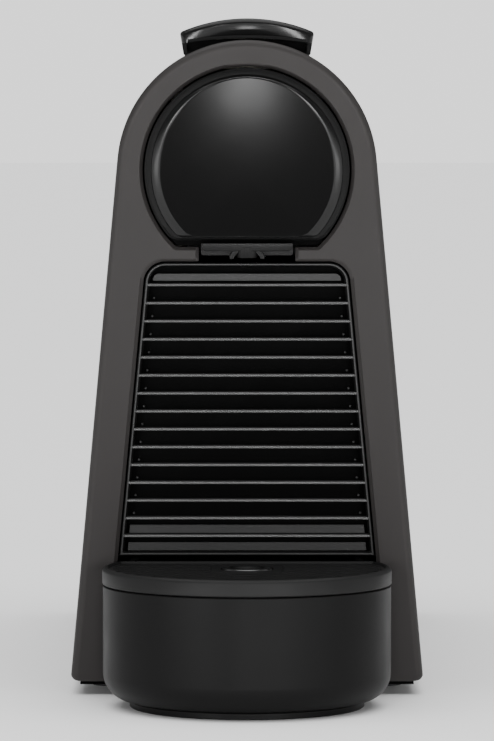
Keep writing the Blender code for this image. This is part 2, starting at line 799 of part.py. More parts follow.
def make_lever_drum():
    """The back of the lever rolls round its hinge, so that it covers the slot when raised."""
    work = bmesh.new()
    face = work.faces.new([work.verts.new((x, HINGE_Y, z)) for x, z in lever_strip(TAIL_HALF)])
    bmesh.ops.rotate(work, verts=face.verts, cent=(0, HINGE_Y, HINGE_Z),
                     matrix=Matrix.Rotation(-DRUM_ANGLE, 3, (-1, 0, 0)))
    bmesh.ops.spin(work, geom=[face, *face.edges, *face.verts], cent=(0, HINGE_Y, HINGE_Z),
                   axis=(-1, 0, 0), angle=DRUM_ANGLE + TAIL_ANGLE, steps=9)
    bmesh.ops.recalc_face_normals(work, faces=work.faces)
    mesh = bpy.data.meshes.new("lever_drum")
    work.to_mesh(mesh)
    work.free()
    return as_object("lever_drum", mesh)


def make_lever(body):
    skirt = [(LEVER_HALF, SKIRT_LOW), (LEVER_HALF, 0.2030)]
    inner = LEVER_HALF - 0.0019
    outline = skirt + lever_arc(LEVER_HALF - 0.0012) + [(-x, z) for x, z in reversed(skirt)]
    outline += [(-inner, SKIRT_LOW), (-inner, 0.2010)]
    outline += list(reversed(lever_arc(inner - 0.0006, LEVER_THICK)))
    outline += [(inner, 0.2010), (inner, SKIRT_LOW)]
    lever = slab("lever", [outline], LEVER_NOSE, LEVER_WIDE_BACK, "Y")
    nose_foot = arc((0, 0.2022 - 0.16), 0.16, math.pi / 2 + 0.117, math.pi / 2 - 0.117, 6)
    nose = slab("lever_nose", [nose_foot + lever_arc(0.0187, 0.0008)],
                LEVER_NOSE + 0.0002, LEVER_NOSE + 0.007, "Y")
    back_foot = [(-0.0187, 0.1992), (0.0187, 0.1992)]
    back = slab("lever_back", [back_foot + lever_arc(0.0187, 0.0008)],
                LEVER_WIDE_BACK - 0.0025, LEVER_WIDE_BACK - 0.0001, "Y")
    parts = [nose, back, make_lever_drum()]
    for side in (-1, 1):
        low, high = sorted((side * ARM_INNER, side * ARM_OUTER))
        hub = circle((HINGE_Y, HINGE_Z), 0.0060, 16)
        web = rounded([(HINGE_Y - 0.011, 0.1875, 0.002), (HINGE_Y + 0.0055, HINGE_Z, 0),
                       (HINGE_Y + 0.0055, 0.2040, 0), (HINGE_Y - 0.013, 0.2040, 0)])
        parts += [slab(f"lever_arm_{side}", [web], low, high, "X"),
                  slab(f"lever_hub_{side}", [hub], low + 0.0001, high - 0.0001, "X")]
    join(lever, *parts)
    reach = ARM_OUTER + 0.002
    cut(lever,
        rod("lever_pivot_bore", (-reach, HINGE_Y, HINGE_Z), (reach, HINGE_Y, HINGE_Z),
            PIVOT_RADIUS + 0.0003),
        rod("lever_crank_bore", (-reach, CRANK_Y, CRANK_Z), (reach, CRANK_Y, CRANK_Z),
            CRANK_PIN + 0.0003, sides=12))
    keep(lever, "satin_black", body)
    pin = rod("crank_pin", (-ARM_OUTER, CRANK_Y, CRANK_Z), (ARM_OUTER, CRANK_Y, CRANK_Z),
              CRANK_PIN, sides=12)
    keep(pin, "steel", body, (0, CRANK_Y, CRANK_Z))


def make_lever_pivots(body):
    for name, side in (("left", -1), ("right", 1)):
        pivot = rod(f"lever_pivot_{name}", (side * (ARM_INNER + 0.0002), HINGE_Y, HINGE_Z),
                    (side * (PLATE_OUTER - 0.0002), HINGE_Y, HINGE_Z), PIVOT_RADIUS)
        keep(pivot, "steel", body, (side * PLATE_INNER, HINGE_Y, HINGE_Z))


def make_cage(body):
    """The cup that holds a capsule and pushes it on to the piercing plate."""
    cup, wall, length = CAGE_RADIUS, 0.0025, CAGE_BACK - CAGE_FRONT
    cage = turned("capsule_cage", (0, CAGE_FRONT, BREW_Z), [
        (cup, 0), (cup, -length), (0.0026, -length), (0.0026, -length + 0.003),
        (cup - wall - 0.003, -length + 0.003), (cup - wall, 0)], 28, "Y")
    keep(cage, "steel", body, (0, CAGE_FRONT, BREW_Z))
    front, back = CAGE_BACK + 0.0003, CAGE_BACK + 0.013
    slot_low, top = 0.1885, 0.1975
    slot_front, slot_back = CRANK_Y - CRANK_PIN - 0.0006, CRANK_Y + CRANK_PIN + 0.0006
    yoke = slab("cage_carrier", [[
        (front, 0.150), (back, 0.150), (back, 0.177), (slot_back + 0.002, 0.181),
        (slot_back + 0.002, top), (slot_back, top), (slot_back, slot_low),
        (slot_front, slot_low), (slot_front, top), (slot_front - 0.002, top),
        (slot_front - 0.002, 0.186), (front, 0.176)]], -0.009, 0.009, "X")
    wings = box("carrier_wings", (-0.0195, front + 0.0002, 0.151), (0.0195, back - 0.001, 0.172))
    bore = rod("carrier_bore", (0, front - 0.002, BREW_Z), (0, back + 0.002, BREW_Z), 0.0026,
               sides=12)
    cut(join(yoke, wings), bore)
    keep(yoke, "natural_nylon", body, (0, CAGE_BACK, BREW_Z))
    tube = rod("injector_tube", (0, CAGE_BACK - 0.006, BREW_Z), (0, -0.0295, BREW_Z), 0.0022,
               sides=12)
    keep(tube, "steel", body, (0, CAGE_BACK, BREW_Z))


# ---- drip tray and used-capsule container


def make_drip_tray(body):
    curve = arc((TRAY_FOOT_RADIUS, TRAY_CURVE_TOP), 1, -math.pi / 2, 0, 3)
    side = [(TRAY_FOOT_RADIUS + (TRAY_RADIUS - TRAY_FOOT_RADIUS) * (x - TRAY_FOOT_RADIUS),
             TRAY_CURVE_TOP + (TRAY_CURVE_TOP - TRAY_FOOT) * (z - TRAY_CURVE_TOP))
            for x, z in curve]
    outline = [(0, 0), (TRAY_FOOT_RADIUS, 0), *side, (TRAY_RADIUS, TRAY_TOP), (0, TRAY_TOP)]
    tray = turned("drip_tray", (0, TRAY_Y, 0), list(reversed(outline)), 48)
    tongue = box("tray_tongue", (-TONGUE_HALF, -0.0950, TONGUE_LOW),
                 (TONGUE_HALF, TONGUE_BACK, TONGUE_TOP))
    wall = TRAY_WALL
    basin = [(0, 0.0038), (TRAY_FOOT_RADIUS - 0.002, 0.0038), (TRAY_RADIUS - wall, 0.012),
             (TRAY_RADIUS - wall, 0.060), (0, 0.060)]
    cut(
        join(tray, tongue),
        turned("tray_basin", (0, TRAY_Y, 0), list(reversed(basin)), 48),
        box("tongue_hollow", (-TONGUE_HALF + wall, -0.0932, TONGUE_LOW + wall),
            (TONGUE_HALF - wall, TONGUE_BACK - wall, 0.060)),
        box("tongue_mouth", (-0.028, -0.120, 0.012), (0.028, -0.080, 0.034)),
    )
    keep(tray, "satin_black", body, (0, TRAY_Y, 0))


def make_cup_grid(body):
    """The slotted cover that a cup stands on."""
    start = math.asin((GRID_BACK - TRAY_Y) / GRID_RADIUS)
    rim = arc((0, TRAY_Y), GRID_RADIUS, math.pi - start, math.tau + start, 44)
    grid = slab("cup_grid", [rim], GRID_LOW, GRID_TOP)
    holes = [rod("dish_hole", (0, TRAY_Y, GRID_LOW - 0.004), (0, TRAY_Y, GRID_TOP + 0.004),
                 DISH_RADIUS + GAP)]
    first, last = FRONT + 0.0075, GRID_BACK - 0.0045
    count = int((last - first) / RIB_PITCH)
    for index in range(count + 1):
        y = first + index * RIB_PITCH
        reach = math.sqrt((GRID_RADIUS - 0.0045) ** 2 - (y - TRAY_Y) ** 2)
        near = abs(y - TRAY_Y) < DISH_RADIUS + 0.004
        spans = ((-reach, -DISH_RADIUS - 0.003), (DISH_RADIUS + 0.003, reach))
        for part, (left, right) in enumerate(spans if near else ((-reach, reach),)):
            holes.append(box(f"grid_slot_{index}_{part}", (left, y - 0.0011, GRID_LOW - 0.004),
                             (right, y + 0.0011, GRID_TOP + 0.004)))
    keep(cut(grid, *holes), "satin_black", body, (0, TRAY_Y, GRID_LOW))


def make_drip_dish(body):
    """The small funnel in the middle of the grid that leads drips down."""
    dish = turned("drip_dish", (0, TRAY_Y, GRID_LOW), [
        (DISH_RADIUS, 0.0047), (DISH_RADIUS, 0.0035), (0.0030, -0.004), (0.0018, -0.004),
        (0.0018, 0), (DISH_RADIUS - 0.0016, 0.0047)], 20)
    keep(dish, "satin_black", body, (0, TRAY_Y, GRID_LOW))


def make_capsule_bin(body):
    outer = bin_outline(GAP, BIN_LOW)
    front = GRILLE_BACK + 0.0003
    skin = fit_ends(slab("capsule_bin", [outer], 0, 1, "Y"), lambda z: front_y(z) + front,
                    lambda z: BIN_BACK)
    wall = 0.0015
    low, high = BIN_LOW + wall, BIN_TOP + 0.02
    hollow = [(-bin_half(low, GAP + wall), low), (bin_half(low, GAP + wall), low),
              (bin_half(BIN_TOP, GAP + wall), BIN_TOP - 0.008), (BIN_HALF - 0.008, high),
              (-BIN_HALF + 0.008, high), (-bin_half(BIN_TOP, GAP + wall), BIN_TOP - 0.008)]
    inside = fit_ends(slab("bin_hollow", [hollow], 0, 1, "Y"),
                      lambda z: front_y(z) + front + wall, lambda z: BIN_BACK - wall)
    keep(cut(skin, inside), "matt_black", body, (0, BIN_BACK, BIN_LOW))


def make_bin_grille(body):
    """The container's front: a rim with level slats across it."""
    windows = []
    edges = [SLAT_TOP_Z + SLAT_PITCH - 0.0004]
    edges += [SLAT_TOP_Z - SLAT_PITCH * index for index in range(SLAT_COUNT)]
    edges.append(SLAT_LOW_Z - SLAT_PITCH + 0.0010)
    for top, low in zip(edges, edges[1:]):
        high_z, low_z = top - SLAT_THICK / 2, low + SLAT_THICK / 2
        corner = 0.0035 if top is edges[0] else 0.0
        windows.append(rounded([
            (-bin_half(low_z, GAP + GRILLE_RIM), low_z, 0),
            (bin_half(low_z, GAP + GRILLE_RIM), low_z, 0),
            (bin_half(high_z, GAP + GRILLE_RIM), high_z, corner),
            (-bin_half(high_z, GAP + GRILLE_RIM), high_z, corner)]))
    grille = leaning("bin_grille", [bin_outline(GAP, BIN_LOW), *windows], GRILLE_FRONT,
                     GRILLE_BACK)
    middle = (0, front_y(BIN_LOW), BIN_LOW)
    keep(grille, "gloss_black", body, middle)


# ---- water tank


def tank_back(z, inset=0.0):
    return TANK_BACK - (z - TANK_LOW) * math.tan(TANK_LEAN) - inset


def knuckles(name, sides, low, high, web_y, web_z):
    """Hinge rings on the lid's axis with a short web to the wall that carries them."""
    made = []
    for side in sides:
        left, right = sorted((side * low, side * high))
        made.append(rod(f"{name}_ring_{side}", (left, LID_AXIS_Y, LID_AXIS_Z),
                        (right, LID_AXIS_Y, LID_AXIS_Z), 0.0022, sides=12))
        made.append(box(f"{name}_web_{side}", (left + 0.0001, web_y, web_z[0]),
                        (right - 0.0001, LID_AXIS_Y, web_z[1])))
    return made


def lid_bore(name):
    reach = 0.030
    return rod(name, (-reach, LID_AXIS_Y, LID_AXIS_Z), (reach, LID_AXIS_Y, LID_AXIS_Z), 0.0013,
               sides=8)


def make_water_tank(body):
    tank = fit_ends(slab("water_tank", [arch(0, TANK_LOW, 0.003)], 0, 1, "Y"),
                    lambda z: TANK_FRONT, tank_back)
    inside = fit_ends(slab("tank_inside", [arch(TANK_WALL, TANK_LOW + 0.0022, 0.002)], 0, 1, "Y"),
                      lambda z: TANK_FRONT + TANK_WALL, lambda z: tank_back(z, TANK_WALL))
    top = box("tank_top", (-0.08, 0.09, TANK_TOP), (0.08, 0.20, 0.25))
    hole = rod("tank_valve_hole", (0, VALVE_Y, 0.01), (0, VALVE_Y, 0.024), 0.0073)
    cut(tank, inside, top, hole)
    lugs = knuckles("tank_lug", (-1, 1), 0.0190, 0.0240, 0.1455,
                    (LID_AXIS_Z - 0.0021, LID_AXIS_Z - 0.0004))
    cut(join(tank, *lugs), lid_bore("tank_lug_bore"))
    keep(tank, "smoke_clear", body, (0, VALVE_Y, TANK_LOW))


def make_tank_lid(body):
    low = TANK_TOP + 0.0004
    lid = fit_ends(slab("tank_lid", [arch(0, 0.12, 0)], 0, 1, "Y"), lambda z: TANK_FRONT,
                   tank_back)
    inside = fit_ends(slab("lid_inside", [arch(TANK_WALL, 0.12, 0)], 0, 1, "Y"),
                      lambda z: TANK_FRONT + TANK_WALL, lambda z: tank_back(z, TANK_WALL))
    below = box("lid_below", (-0.08, 0.09, 0.10), (0.08, 0.20, low))
    cut(lid, inside, below)
    arms = knuckles("lid_arm", (-1, 1), 0.0080, 0.0186, 0.1440,
                    (LID_AXIS_Z + 0.0009, LID_AXIS_Z + 0.0021))
    cut(join(lid, *arms), lid_bore("lid_arm_bore"))
    keep(lid, "satin_black", body)


def make_lid_hinge_pin(body):
    pin = rod("lid_hinge_pin", (-0.0240, LID_AXIS_Y, LID_AXIS_Z), (0.0240, LID_AXIS_Y, LID_AXIS_Z),
              0.0010, sides=8)
    keep(pin, "steel", body, (0, LID_AXIS_Y, LID_AXIS_Z))


def make_tank_valve(body):
    valve = turned("tank_valve", (0, VALVE_Y, 0), [
        (0.0090, 0.0204), (0.0090, 0.0189), (0.0069, 0.0189), (0.0069, 0.0135),
        (0.0026, 0.0135), (0.0026, 0.0204)], 20)
    keep(valve, "natural_nylon", body, (0, VALVE_Y, 0.0189))
    poppet = turned("tank_poppet", (0, VALVE_Y, 0), [
        (0, 0.0240), (0.0050, 0.0240), (0.0050, 0.0216), (0.0018, 0.0210), (0.0018, 0.0156),
        (0, 0.0156)], 16)
    keep(poppet, "brass", body, (0, VALVE_Y, 0.0156))


def make_tank_socket(body):
    """The cup in the ledge that the tank's valve drops into, with the pin that opens the valve."""
    socket = turned("tank_socket", (0, VALVE_Y, 0), [
        (0, 0.0152), (0.0010, 0.0152), (0.0010, 0.0100), (0.0076, 0.0100), (0.0076, 0.0158),
        (0.0096, 0.0158), (0.0096, 0.0060), (0, 0.0060)], 20)
    nipple = rod("socket_nipple", (0, VALVE_Y - 0.0085, 0.0110), (0, VALVE_Y - 0.0172, 0.0110),
                 0.0022, sides=12)
    bore = rod("socket_drain", (0, VALVE_Y - 0.005, 0.0110), (0, VALVE_Y - 0.0180, 0.0110),
               0.0012, sides=8)
    keep(cut(join(socket, nipple), bore), "natural_nylon", body, (0, VALVE_Y, 0.0060))


# ---- the whole machine

clear_scene()
machine = new_collection("pod_coffee_machine")
cutters = new_collection("cutters")
bosses = []

root = new_axis("machine_body")
make_housing_shell(root)
make_head_cover(root)
make_head_bezel(root)
make_coffee_outlet(root)
make_base_plate(root)
make_rear_bulkhead(root)
make_bulkhead_screws(root)
make_feet(root)
make_cord_gland(root)
make_brew_frame(root)
make_piercing_plate(root)
make_capsule_funnel(root)
make_injector_block(root)
make_thermoblock(root)
make_heater_bracket(root)
make_thermostat(root)
make_pump(root)
make_flow_meter(root)
make_hoses(root)
make_boards(root)
make_mains_terminal(root)
make_button_board(root)
make_lever_pivots(root)
make_tank_socket(root)

make_pump_piston(new_axis("piston_slide", (0, PUMP_Y, 0.057)))
make_button("button_small_cup", -1, new_axis("small_cup_press", (-BUTTON_X, BUTTON_Y, 0.2)))
make_button("button_large_cup", 1, new_axis("large_cup_press", (BUTTON_X, BUTTON_Y, 0.2)))
make_lever(new_axis("lever_hinge", (0, HINGE_Y, HINGE_Z)))
make_cage(new_axis("cage_slide", (0, CAGE_FRONT, BREW_Z)))

tray_axis = new_axis("tray_slide", (0, TRAY_Y, 0))
make_drip_tray(tray_axis)
make_cup_grid(tray_axis)
make_drip_dish(tray_axis)
bin_axis = new_axis("bin_slide", (0, BIN_BACK, BIN_LOW))
make_capsule_bin(bin_axis)
make_bin_grille(bin_axis)

tank_axis = new_axis("tank_lift", (0, VALVE_Y, TANK_LOW))
make_water_tank(tank_axis)
make_tank_valve(tank_axis)
make_lid_hinge_pin(tank_axis)
make_tank_lid(new_axis("lid_hinge", (0, LID_AXIS_Y, LID_AXIS_Z)))
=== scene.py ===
"""Looks of the pod coffee machine: smooth mouldings, their finishes, the studio and the camera."""

import json
import math

import bmesh
import bpy
from mathutils import Matrix, Vector

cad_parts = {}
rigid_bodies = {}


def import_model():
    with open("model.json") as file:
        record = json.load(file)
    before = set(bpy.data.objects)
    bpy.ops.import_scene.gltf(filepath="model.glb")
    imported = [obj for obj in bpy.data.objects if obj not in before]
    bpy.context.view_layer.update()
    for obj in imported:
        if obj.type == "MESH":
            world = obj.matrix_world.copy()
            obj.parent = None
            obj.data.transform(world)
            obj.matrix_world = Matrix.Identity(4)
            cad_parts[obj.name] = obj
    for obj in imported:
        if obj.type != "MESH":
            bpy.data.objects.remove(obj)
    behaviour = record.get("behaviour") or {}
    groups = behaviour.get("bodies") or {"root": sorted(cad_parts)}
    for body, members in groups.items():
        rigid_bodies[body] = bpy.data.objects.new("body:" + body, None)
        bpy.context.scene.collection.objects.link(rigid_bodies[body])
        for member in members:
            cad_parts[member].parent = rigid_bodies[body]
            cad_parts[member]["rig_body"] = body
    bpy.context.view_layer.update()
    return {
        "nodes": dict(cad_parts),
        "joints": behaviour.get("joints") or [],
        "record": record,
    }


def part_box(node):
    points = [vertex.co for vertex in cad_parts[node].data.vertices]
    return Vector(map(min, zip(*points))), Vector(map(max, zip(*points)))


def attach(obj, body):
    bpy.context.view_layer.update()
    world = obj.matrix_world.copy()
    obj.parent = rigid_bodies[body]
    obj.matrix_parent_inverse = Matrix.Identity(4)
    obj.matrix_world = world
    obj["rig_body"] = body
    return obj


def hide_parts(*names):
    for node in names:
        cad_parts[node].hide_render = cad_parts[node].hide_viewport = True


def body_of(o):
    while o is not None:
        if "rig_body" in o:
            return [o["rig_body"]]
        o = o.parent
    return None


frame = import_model()

# The moulding's shared sizes, in metres, as the housing was designed
DOME_RADIUS = 0.0392
DOME_Z = 0.1627
SPREAD = math.radians(5.55)
LEAN = math.radians(13.0)
FRONT_AT_FLOOR = -0.0905
WALL = 0.0022
HEAD_HOLE = 0.0314
HEAD_FLAT_Z = 0.1397
NECK_HALF = 0.0146
BIN_WIDE_Z = 0.1296
BIN_HALF = 0.0313
BIN_SPREAD = 0.098
BIN_TOP = 0.1353
BIN_CORNER = 0.0066
TRAY_NOTCH_HALF = 0.041
TRAY_NOTCH_Z = 0.0405


def low(node):
    return Vector(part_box(node)[0])


def high(node):
    return Vector(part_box(node)[1])


def middle(node):
    return (low(node) + high(node)) / 2


SHELL_LOW = low("housing_shell").z
SHELL_BACK = high("housing_shell").y
TRAY_Y = middle("drip_dish").y
TRAY_RADIUS = high("drip_tray").x
GRID_LOW = low("cup_grid").z
GRID_TOP = high("cup_grid").z
GRID_BACK = high("cup_grid").y
HEIGHT = high("lever").z
HINGE = next(Vector(j["pos_m"]) for j in frame["joints"] if j["name"] == "lever_hinge")
LID_AXIS = next(Vector(j["pos_m"]) for j in frame["joints"] if j["name"] == "lid_hinge")


# ---- outlines, as in the housing's design


def arc(centre, radius, start, end, steps):
    turns = [start + (end - start) * step / steps for step in range(steps + 1)]
    return [(centre[0] + radius * math.cos(t), centre[1] + radius * math.sin(t)) for t in turns]


def rounded(corners, step=math.radians(6), count=None):
    """A polygon of (x, y, radius) corners, each rounded to its radius."""
    outline = []
    for index, (x, y, radius) in enumerate(corners):
        here = Vector((x, y))
        before = Vector(corners[index - 1][:2]) - here
        after = Vector(corners[(index + 1) % len(corners)][:2]) - here
        if radius == 0:
            outline.append((x, y))
            continue
        half = before.angle(after) / 2
        inward = (before.normalized() + after.normalized()).normalized()
        centre = here + inward * (radius / math.sin(half))
        reach = radius / math.tan(half)
        first = here + before.normalized() * reach - centre
        last = here + after.normalized() * reach - centre
        begin = math.atan2(first.y, first.x)
        turn = (math.atan2(last.y, last.x) - begin + math.pi) % math.tau - math.pi
        steps = count or max(2, math.ceil(abs(turn) / step))
        outline += arc(centre, radius, begin, begin + turn, steps)
    return outline


def front_y(z):
    return FRONT_AT_FLOOR - z * math.tan(LEAN)


def half_width(z, inset=0.0):
    return (DOME_RADIUS - inset) / math.cos(SPREAD) + (DOME_Z - z) * math.tan(SPREAD)


def arch(inset=0.0, foot_z=SHELL_LOW, corner=0.002):
    """The machine's outline from the front, from one foot over the dome to the other."""
    radius = DOME_RADIUS - inset
    foot = half_width(foot_z, inset)
    peak = DOME_Z + radius / math.sin(SPREAD)
    return rounded([(-foot, foot_z, corner), (foot, foot_z, corner), (0, peak, radius)],
                   math.radians(2.5))


def cut_circle(radius, flat, steps):
    """A circle with a flat at the bottom."""
    start = math.asin((flat - DOME_Z) / radius)
    return arc((0, DOME_Z), radius, start, math.pi - start, steps)


def bin_half(z, inset=0.0):
    return BIN_HALF + (BIN_WIDE_Z - z) * BIN_SPREAD - inset


# ---- mesh helpers


def skin(work, rings, start_cap=False, end_cap=False):
    """Closed rings of points joined corner to corner, with caps where asked."""
    loops = [[work.verts.new(point) for point in points] for points in rings]
    for near, far in zip(loops, loops[1:]):
        for index, corner in enumerate(near):
            work.faces.new((near[index - 1], corner, far[index], far[index - 1]))
    for loop, wanted in ((loops[0], start_cap), (loops[-1], end_cap)):
        if wanted:
            work.faces.new(loop)
    return loops


def made(name, work, sharp=35):
    """A bmesh as an object at the origin, outward faces and smooth shading."""
    bmesh.ops.remove_doubles(work, verts=work.verts, dist=1e-7)
    bmesh.ops.recalc_face_normals(work, faces=work.faces)
    mesh = bpy.data.meshes.new(name)
    work.to_mesh(mesh)
    work.free()
    piece = bpy.data.objects.new(name, mesh)
    bpy.context.scene.collection.objects.link(piece)
    shade(piece, sharp)
    return piece


def shade(piece, sharp=35):
    piece.data.shade_smooth()
    piece.data.set_sharp_from_angle(angle=math.radians(sharp))


def settle(piece, sharp=35):
    """Makes a piece's modifiers part of its mesh."""
    graph = bpy.context.evaluated_depsgraph_get()
    mesh = bpy.data.meshes.new_from_object(piece.evaluated_get(graph))
    piece.modifiers.clear()
    piece.data = mesh
    shade(piece, sharp)
    return piece


def combine(piece, others, operation="DIFFERENCE", sharp=35):
    """Cuts the others out of a piece, or joins them to it, and removes them."""
    for other in others:
        change = piece.modifiers.new(operation.lower(), "BOOLEAN")
        change.operation = operation
        change.object = other
    settle(piece, sharp)
    for other in others:
        bpy.data.objects.remove(other)
    return piece


def soften(piece, width, segments):
    bevel = piece.modifiers.new("soft edges", "BEVEL")
    bevel.width = width
    bevel.segments = segments
    bevel.limit_method = "ANGLE"
    bevel.angle_limit = math.radians(40)
    bevel.miter_outer = "MITER_ARC"
    return piece


def block(name, corner_a, corner_b):
    work = bmesh.new()
    size = [abs(b - a) for a, b in zip(corner_a, corner_b)]
    centre = Vector([(a + b) / 2 for a, b in zip(corner_a, corner_b)])
    place = Matrix.Translation(centre) @ Matrix.Diagonal((*size, 1))
    bmesh.ops.create_cube(work, size=1, matrix=place)
    return made(name, work)


def rod(name, start, end, radius, sides=48):
    start, end = Vector(start), Vector(end)
    along = end - start
    turn = Vector((0, 0, 1)).rotation_difference(along).to_matrix().to_4x4()
    work = bmesh.new()
    bmesh.ops.create_cone(work, cap_ends=True, segments=sides, radius1=radius, radius2=radius,
                          depth=along.length, matrix=Matrix.Translation((start + end) / 2) @ turn)
    return made(name, work)


def turned(name, centre, profile, steps=96, turn=None):
    """A profile of (radius, height) points spun round an upright axis through centre."""
    work = bmesh.new()
    points = [work.verts.new((radius, 0, height)) for radius, height in profile]
    edges = [work.edges.new(pair) for pair in zip(points, points[1:])]
    bmesh.ops.spin(work, geom=points + edges, cent=(0, 0, 0), axis=(0, 0, 1), angle=math.tau,
                   steps=steps, use_merge=True)
    bmesh.ops.transform(work, matrix=Matrix.Translation(centre) @ (turn or Matrix.Identity(4)),
                        verts=work.verts)
    bmesh.ops.remove_doubles(work, verts=work.verts, dist=1e-6)
    return made(name, work)


def prism(name, outline, near, far):
    """An outline in (x, z) made solid between near(z) and far(z) along Y."""
    work = bmesh.new()
    skin(work, [[(x, near(z), z) for x, z in outline], [(x, far(z), z) for x, z in outline]],
         True, True)
    return made(name, work)


# ---- finishes


def nodes_of(name, colour, roughness, metallic=0.0, glint=0.5):
    finish = bpy.data.materials.new(name)
    finish.use_nodes = True
    tree = finish.node_tree
    shader = tree.nodes["Principled BSDF"]
    shader.inputs["Base Color"].default_value = (*colour, 1)
    shader.inputs["Roughness"].default_value = roughness
    shader.inputs["Metallic"].default_value = metallic
    shader.inputs["Specular IOR Level"].default_value = glint
    place = tree.nodes.new("ShaderNodeTexCoord")
    return finish, tree, shader, place.outputs["Object"]


def noise(tree, where, scale, detail=3.0, stretch=None):
    grain = tree.nodes.new("ShaderNodeTexNoise")
    grain.inputs["Scale"].default_value = scale
    grain.inputs["Detail"].default_value = detail
    if stretch:
        mapping = tree.nodes.new("ShaderNodeMapping")
        mapping.inputs["Scale"].default_value = stretch
        tree.links.new(where, mapping.inputs["Vector"])
        where = mapping.outputs["Vector"]
    tree.links.new(where, grain.inputs["Vector"])
    return grain.outputs["Fac"]


def between(tree, value, lowest, highest):
    """A 0 to 1 pattern spread between two numbers."""
    spread = tree.nodes.new("ShaderNodeMapRange")
    spread.inputs["From Min"].default_value = 0.3
    spread.inputs["From Max"].default_value = 0.7
    spread.inputs["To Min"].default_value = lowest
    spread.inputs["To Max"].default_value = highest
    tree.links.new(value, spread.inputs["Value"])
    return spread.outputs["Result"]


def tint(tree, value, first, second):
    mix = tree.nodes.new("ShaderNodeMix")
    mix.data_type = "RGBA"
    mix.inputs["A"].default_value = (*first, 1)
    mix.inputs["B"].default_value = (*second, 1)
    tree.links.new(value, mix.inputs["Factor"])
    return mix.outputs["Result"]


def relief(tree, shader, height, strength, distance):
    bump = tree.nodes.new("ShaderNodeBump")
    bump.inputs["Strength"].default_value = strength
    bump.inputs["Distance"].default_value = distance
    tree.links.new(height, bump.inputs["Height"])
    tree.links.new(bump.outputs["Normal"], shader.inputs["Normal"])


def moulded(name, colour, roughness, grain=2600.0, depth=0.25, spread=0.05, shift=0.10, glint=0.2):
    """Moulded plastic: a fine spark-eroded grain, faint flow marks in colour and gloss."""
    finish, tree, shader, where = nodes_of(name, colour, roughness, 0.0, glint)
    flow = noise(tree, where, 22.0, 4.0, (1, 0.6, 1))
    darker = tuple(part * (1 - shift) for part in colour)
    lighter = tuple(part * (1 + shift) for part in colour)
    tree.links.new(tint(tree, flow, darker, lighter), shader.inputs["Base Color"])
    tree.links.new(between(tree, noise(tree, where, 60.0, 5.0), roughness - spread,
                           roughness + spread), shader.inputs["Roughness"])
    relief(tree, shader, noise(tree, where, grain, 2.0), depth, 0.0001)
    return finish


def polished(name, colour, roughness, glint=0.15):
    """High-gloss plastic: nearly mirror-smooth, with slight differences in gloss and ripple."""
    finish, tree, shader, where = nodes_of(name, colour, roughness, 0.0, glint)
    tree.links.new(between(tree, noise(tree, where, 120.0, 4.0), roughness * 0.92,
                           roughness * 1.08), shader.inputs["Roughness"])
    relief(tree, shader, noise(tree, where, 18.0, 1.0), 0.015, 0.0002)
    return finish


def brushed(name, colour, roughness, stretch=(1, 1, 0.02)):
    """Metal drawn or brushed along one way."""
    finish, tree, shader, where = nodes_of(name, colour, roughness, 1.0)
    hair = noise(tree, where, 2400.0, 3.0, stretch)
    dull = tuple(part * 0.82 for part in colour)
    tree.links.new(tint(tree, hair, dull, colour), shader.inputs["Base Color"])
    tree.links.new(between(tree, hair, roughness * 0.75, roughness * 1.3),
                   shader.inputs["Roughness"])
    relief(tree, shader, hair, 0.12, 0.00008)
    return finish


def cast(name, colour, roughness):
    """Cast metal with a grainy skin."""
    finish, tree, shader, where = nodes_of(name, colour, roughness, 1.0)
    grain = noise(tree, where, 1300.0, 4.0)
    dull = tuple(part * 0.7 for part in colour)
    tree.links.new(tint(tree, grain, dull, colour), shader.inputs["Base Color"])
    relief(tree, shader, grain, 0.5, 0.00015)
    return finish


def soft_rubber(name, colour, roughness=0.75):
    finish, tree, shader, where = nodes_of(name, colour, roughness)
    grain = noise(tree, where, 1800.0, 3.0)
    lighter = tuple(part * 1.6 for part in colour)
    tree.links.new(tint(tree, grain, colour, lighter), shader.inputs["Base Color"])
    relief(tree, shader, grain, 0.3, 0.0001)
    return finish


def smoked(name, colour, roughness=0.04):
    """Smoked clear plastic."""
    finish, tree, shader, where = nodes_of(name, colour, roughness)
    shader.inputs["Transmission Weight"].default_value = 1.0
    shader.inputs["IOR"].default_value = 1.3
    tree.links.new(tint(tree, noise(tree, where, 14.0, 2.0), tuple(p * 0.9 for p in colour),
                        colour), shader.inputs["Base Color"])
    relief(tree, shader, noise(tree, where, 25.0, 1.0), 0.06, 0.0003)
    return finish


def silicone(name, colour):
    finish, tree, shader, where = nodes_of(name, colour, 0.35)
    shader.inputs["Subsurface Weight"].default_value = 0.3
    shader.inputs["Subsurface Radius"].default_value = (0.002, 0.002, 0.002)
    dull = tuple(part * 0.85 for part in colour)
    tree.links.new(tint(tree, noise(tree, where, 90.0), dull, colour),
                   shader.inputs["Base Color"])
    return finish


def solder_mask(name, colour):
    """A circuit board's lacquer over copper tracks."""
    finish, tree, shader, where = nodes_of(name, colour, 0.35)
    tracks = tree.nodes.new("ShaderNodeTexBrick")
    tracks.inputs["Scale"].default_value = 160.0
    tracks.inputs["Mortar Size"].default_value = 0.09
    tracks.inputs["Color1"].default_value = (*colour, 1)
    tracks.inputs["Color2"].default_value = (*(part * 0.8 for part in colour), 1)
    tracks.inputs["Mortar"].default_value = (*(part * 1.9 for part in colour), 1)
    turn = tree.nodes.new("ShaderNodeMapping")
    turn.inputs["Rotation"].default_value = (0, math.radians(90), 0)
    tree.links.new(where, turn.inputs["Vector"])
    tree.links.new(turn.outputs["Vector"], tracks.inputs["Vector"])
    tree.links.new(tracks.outputs["Color"], shader.inputs["Base Color"])
    return finish


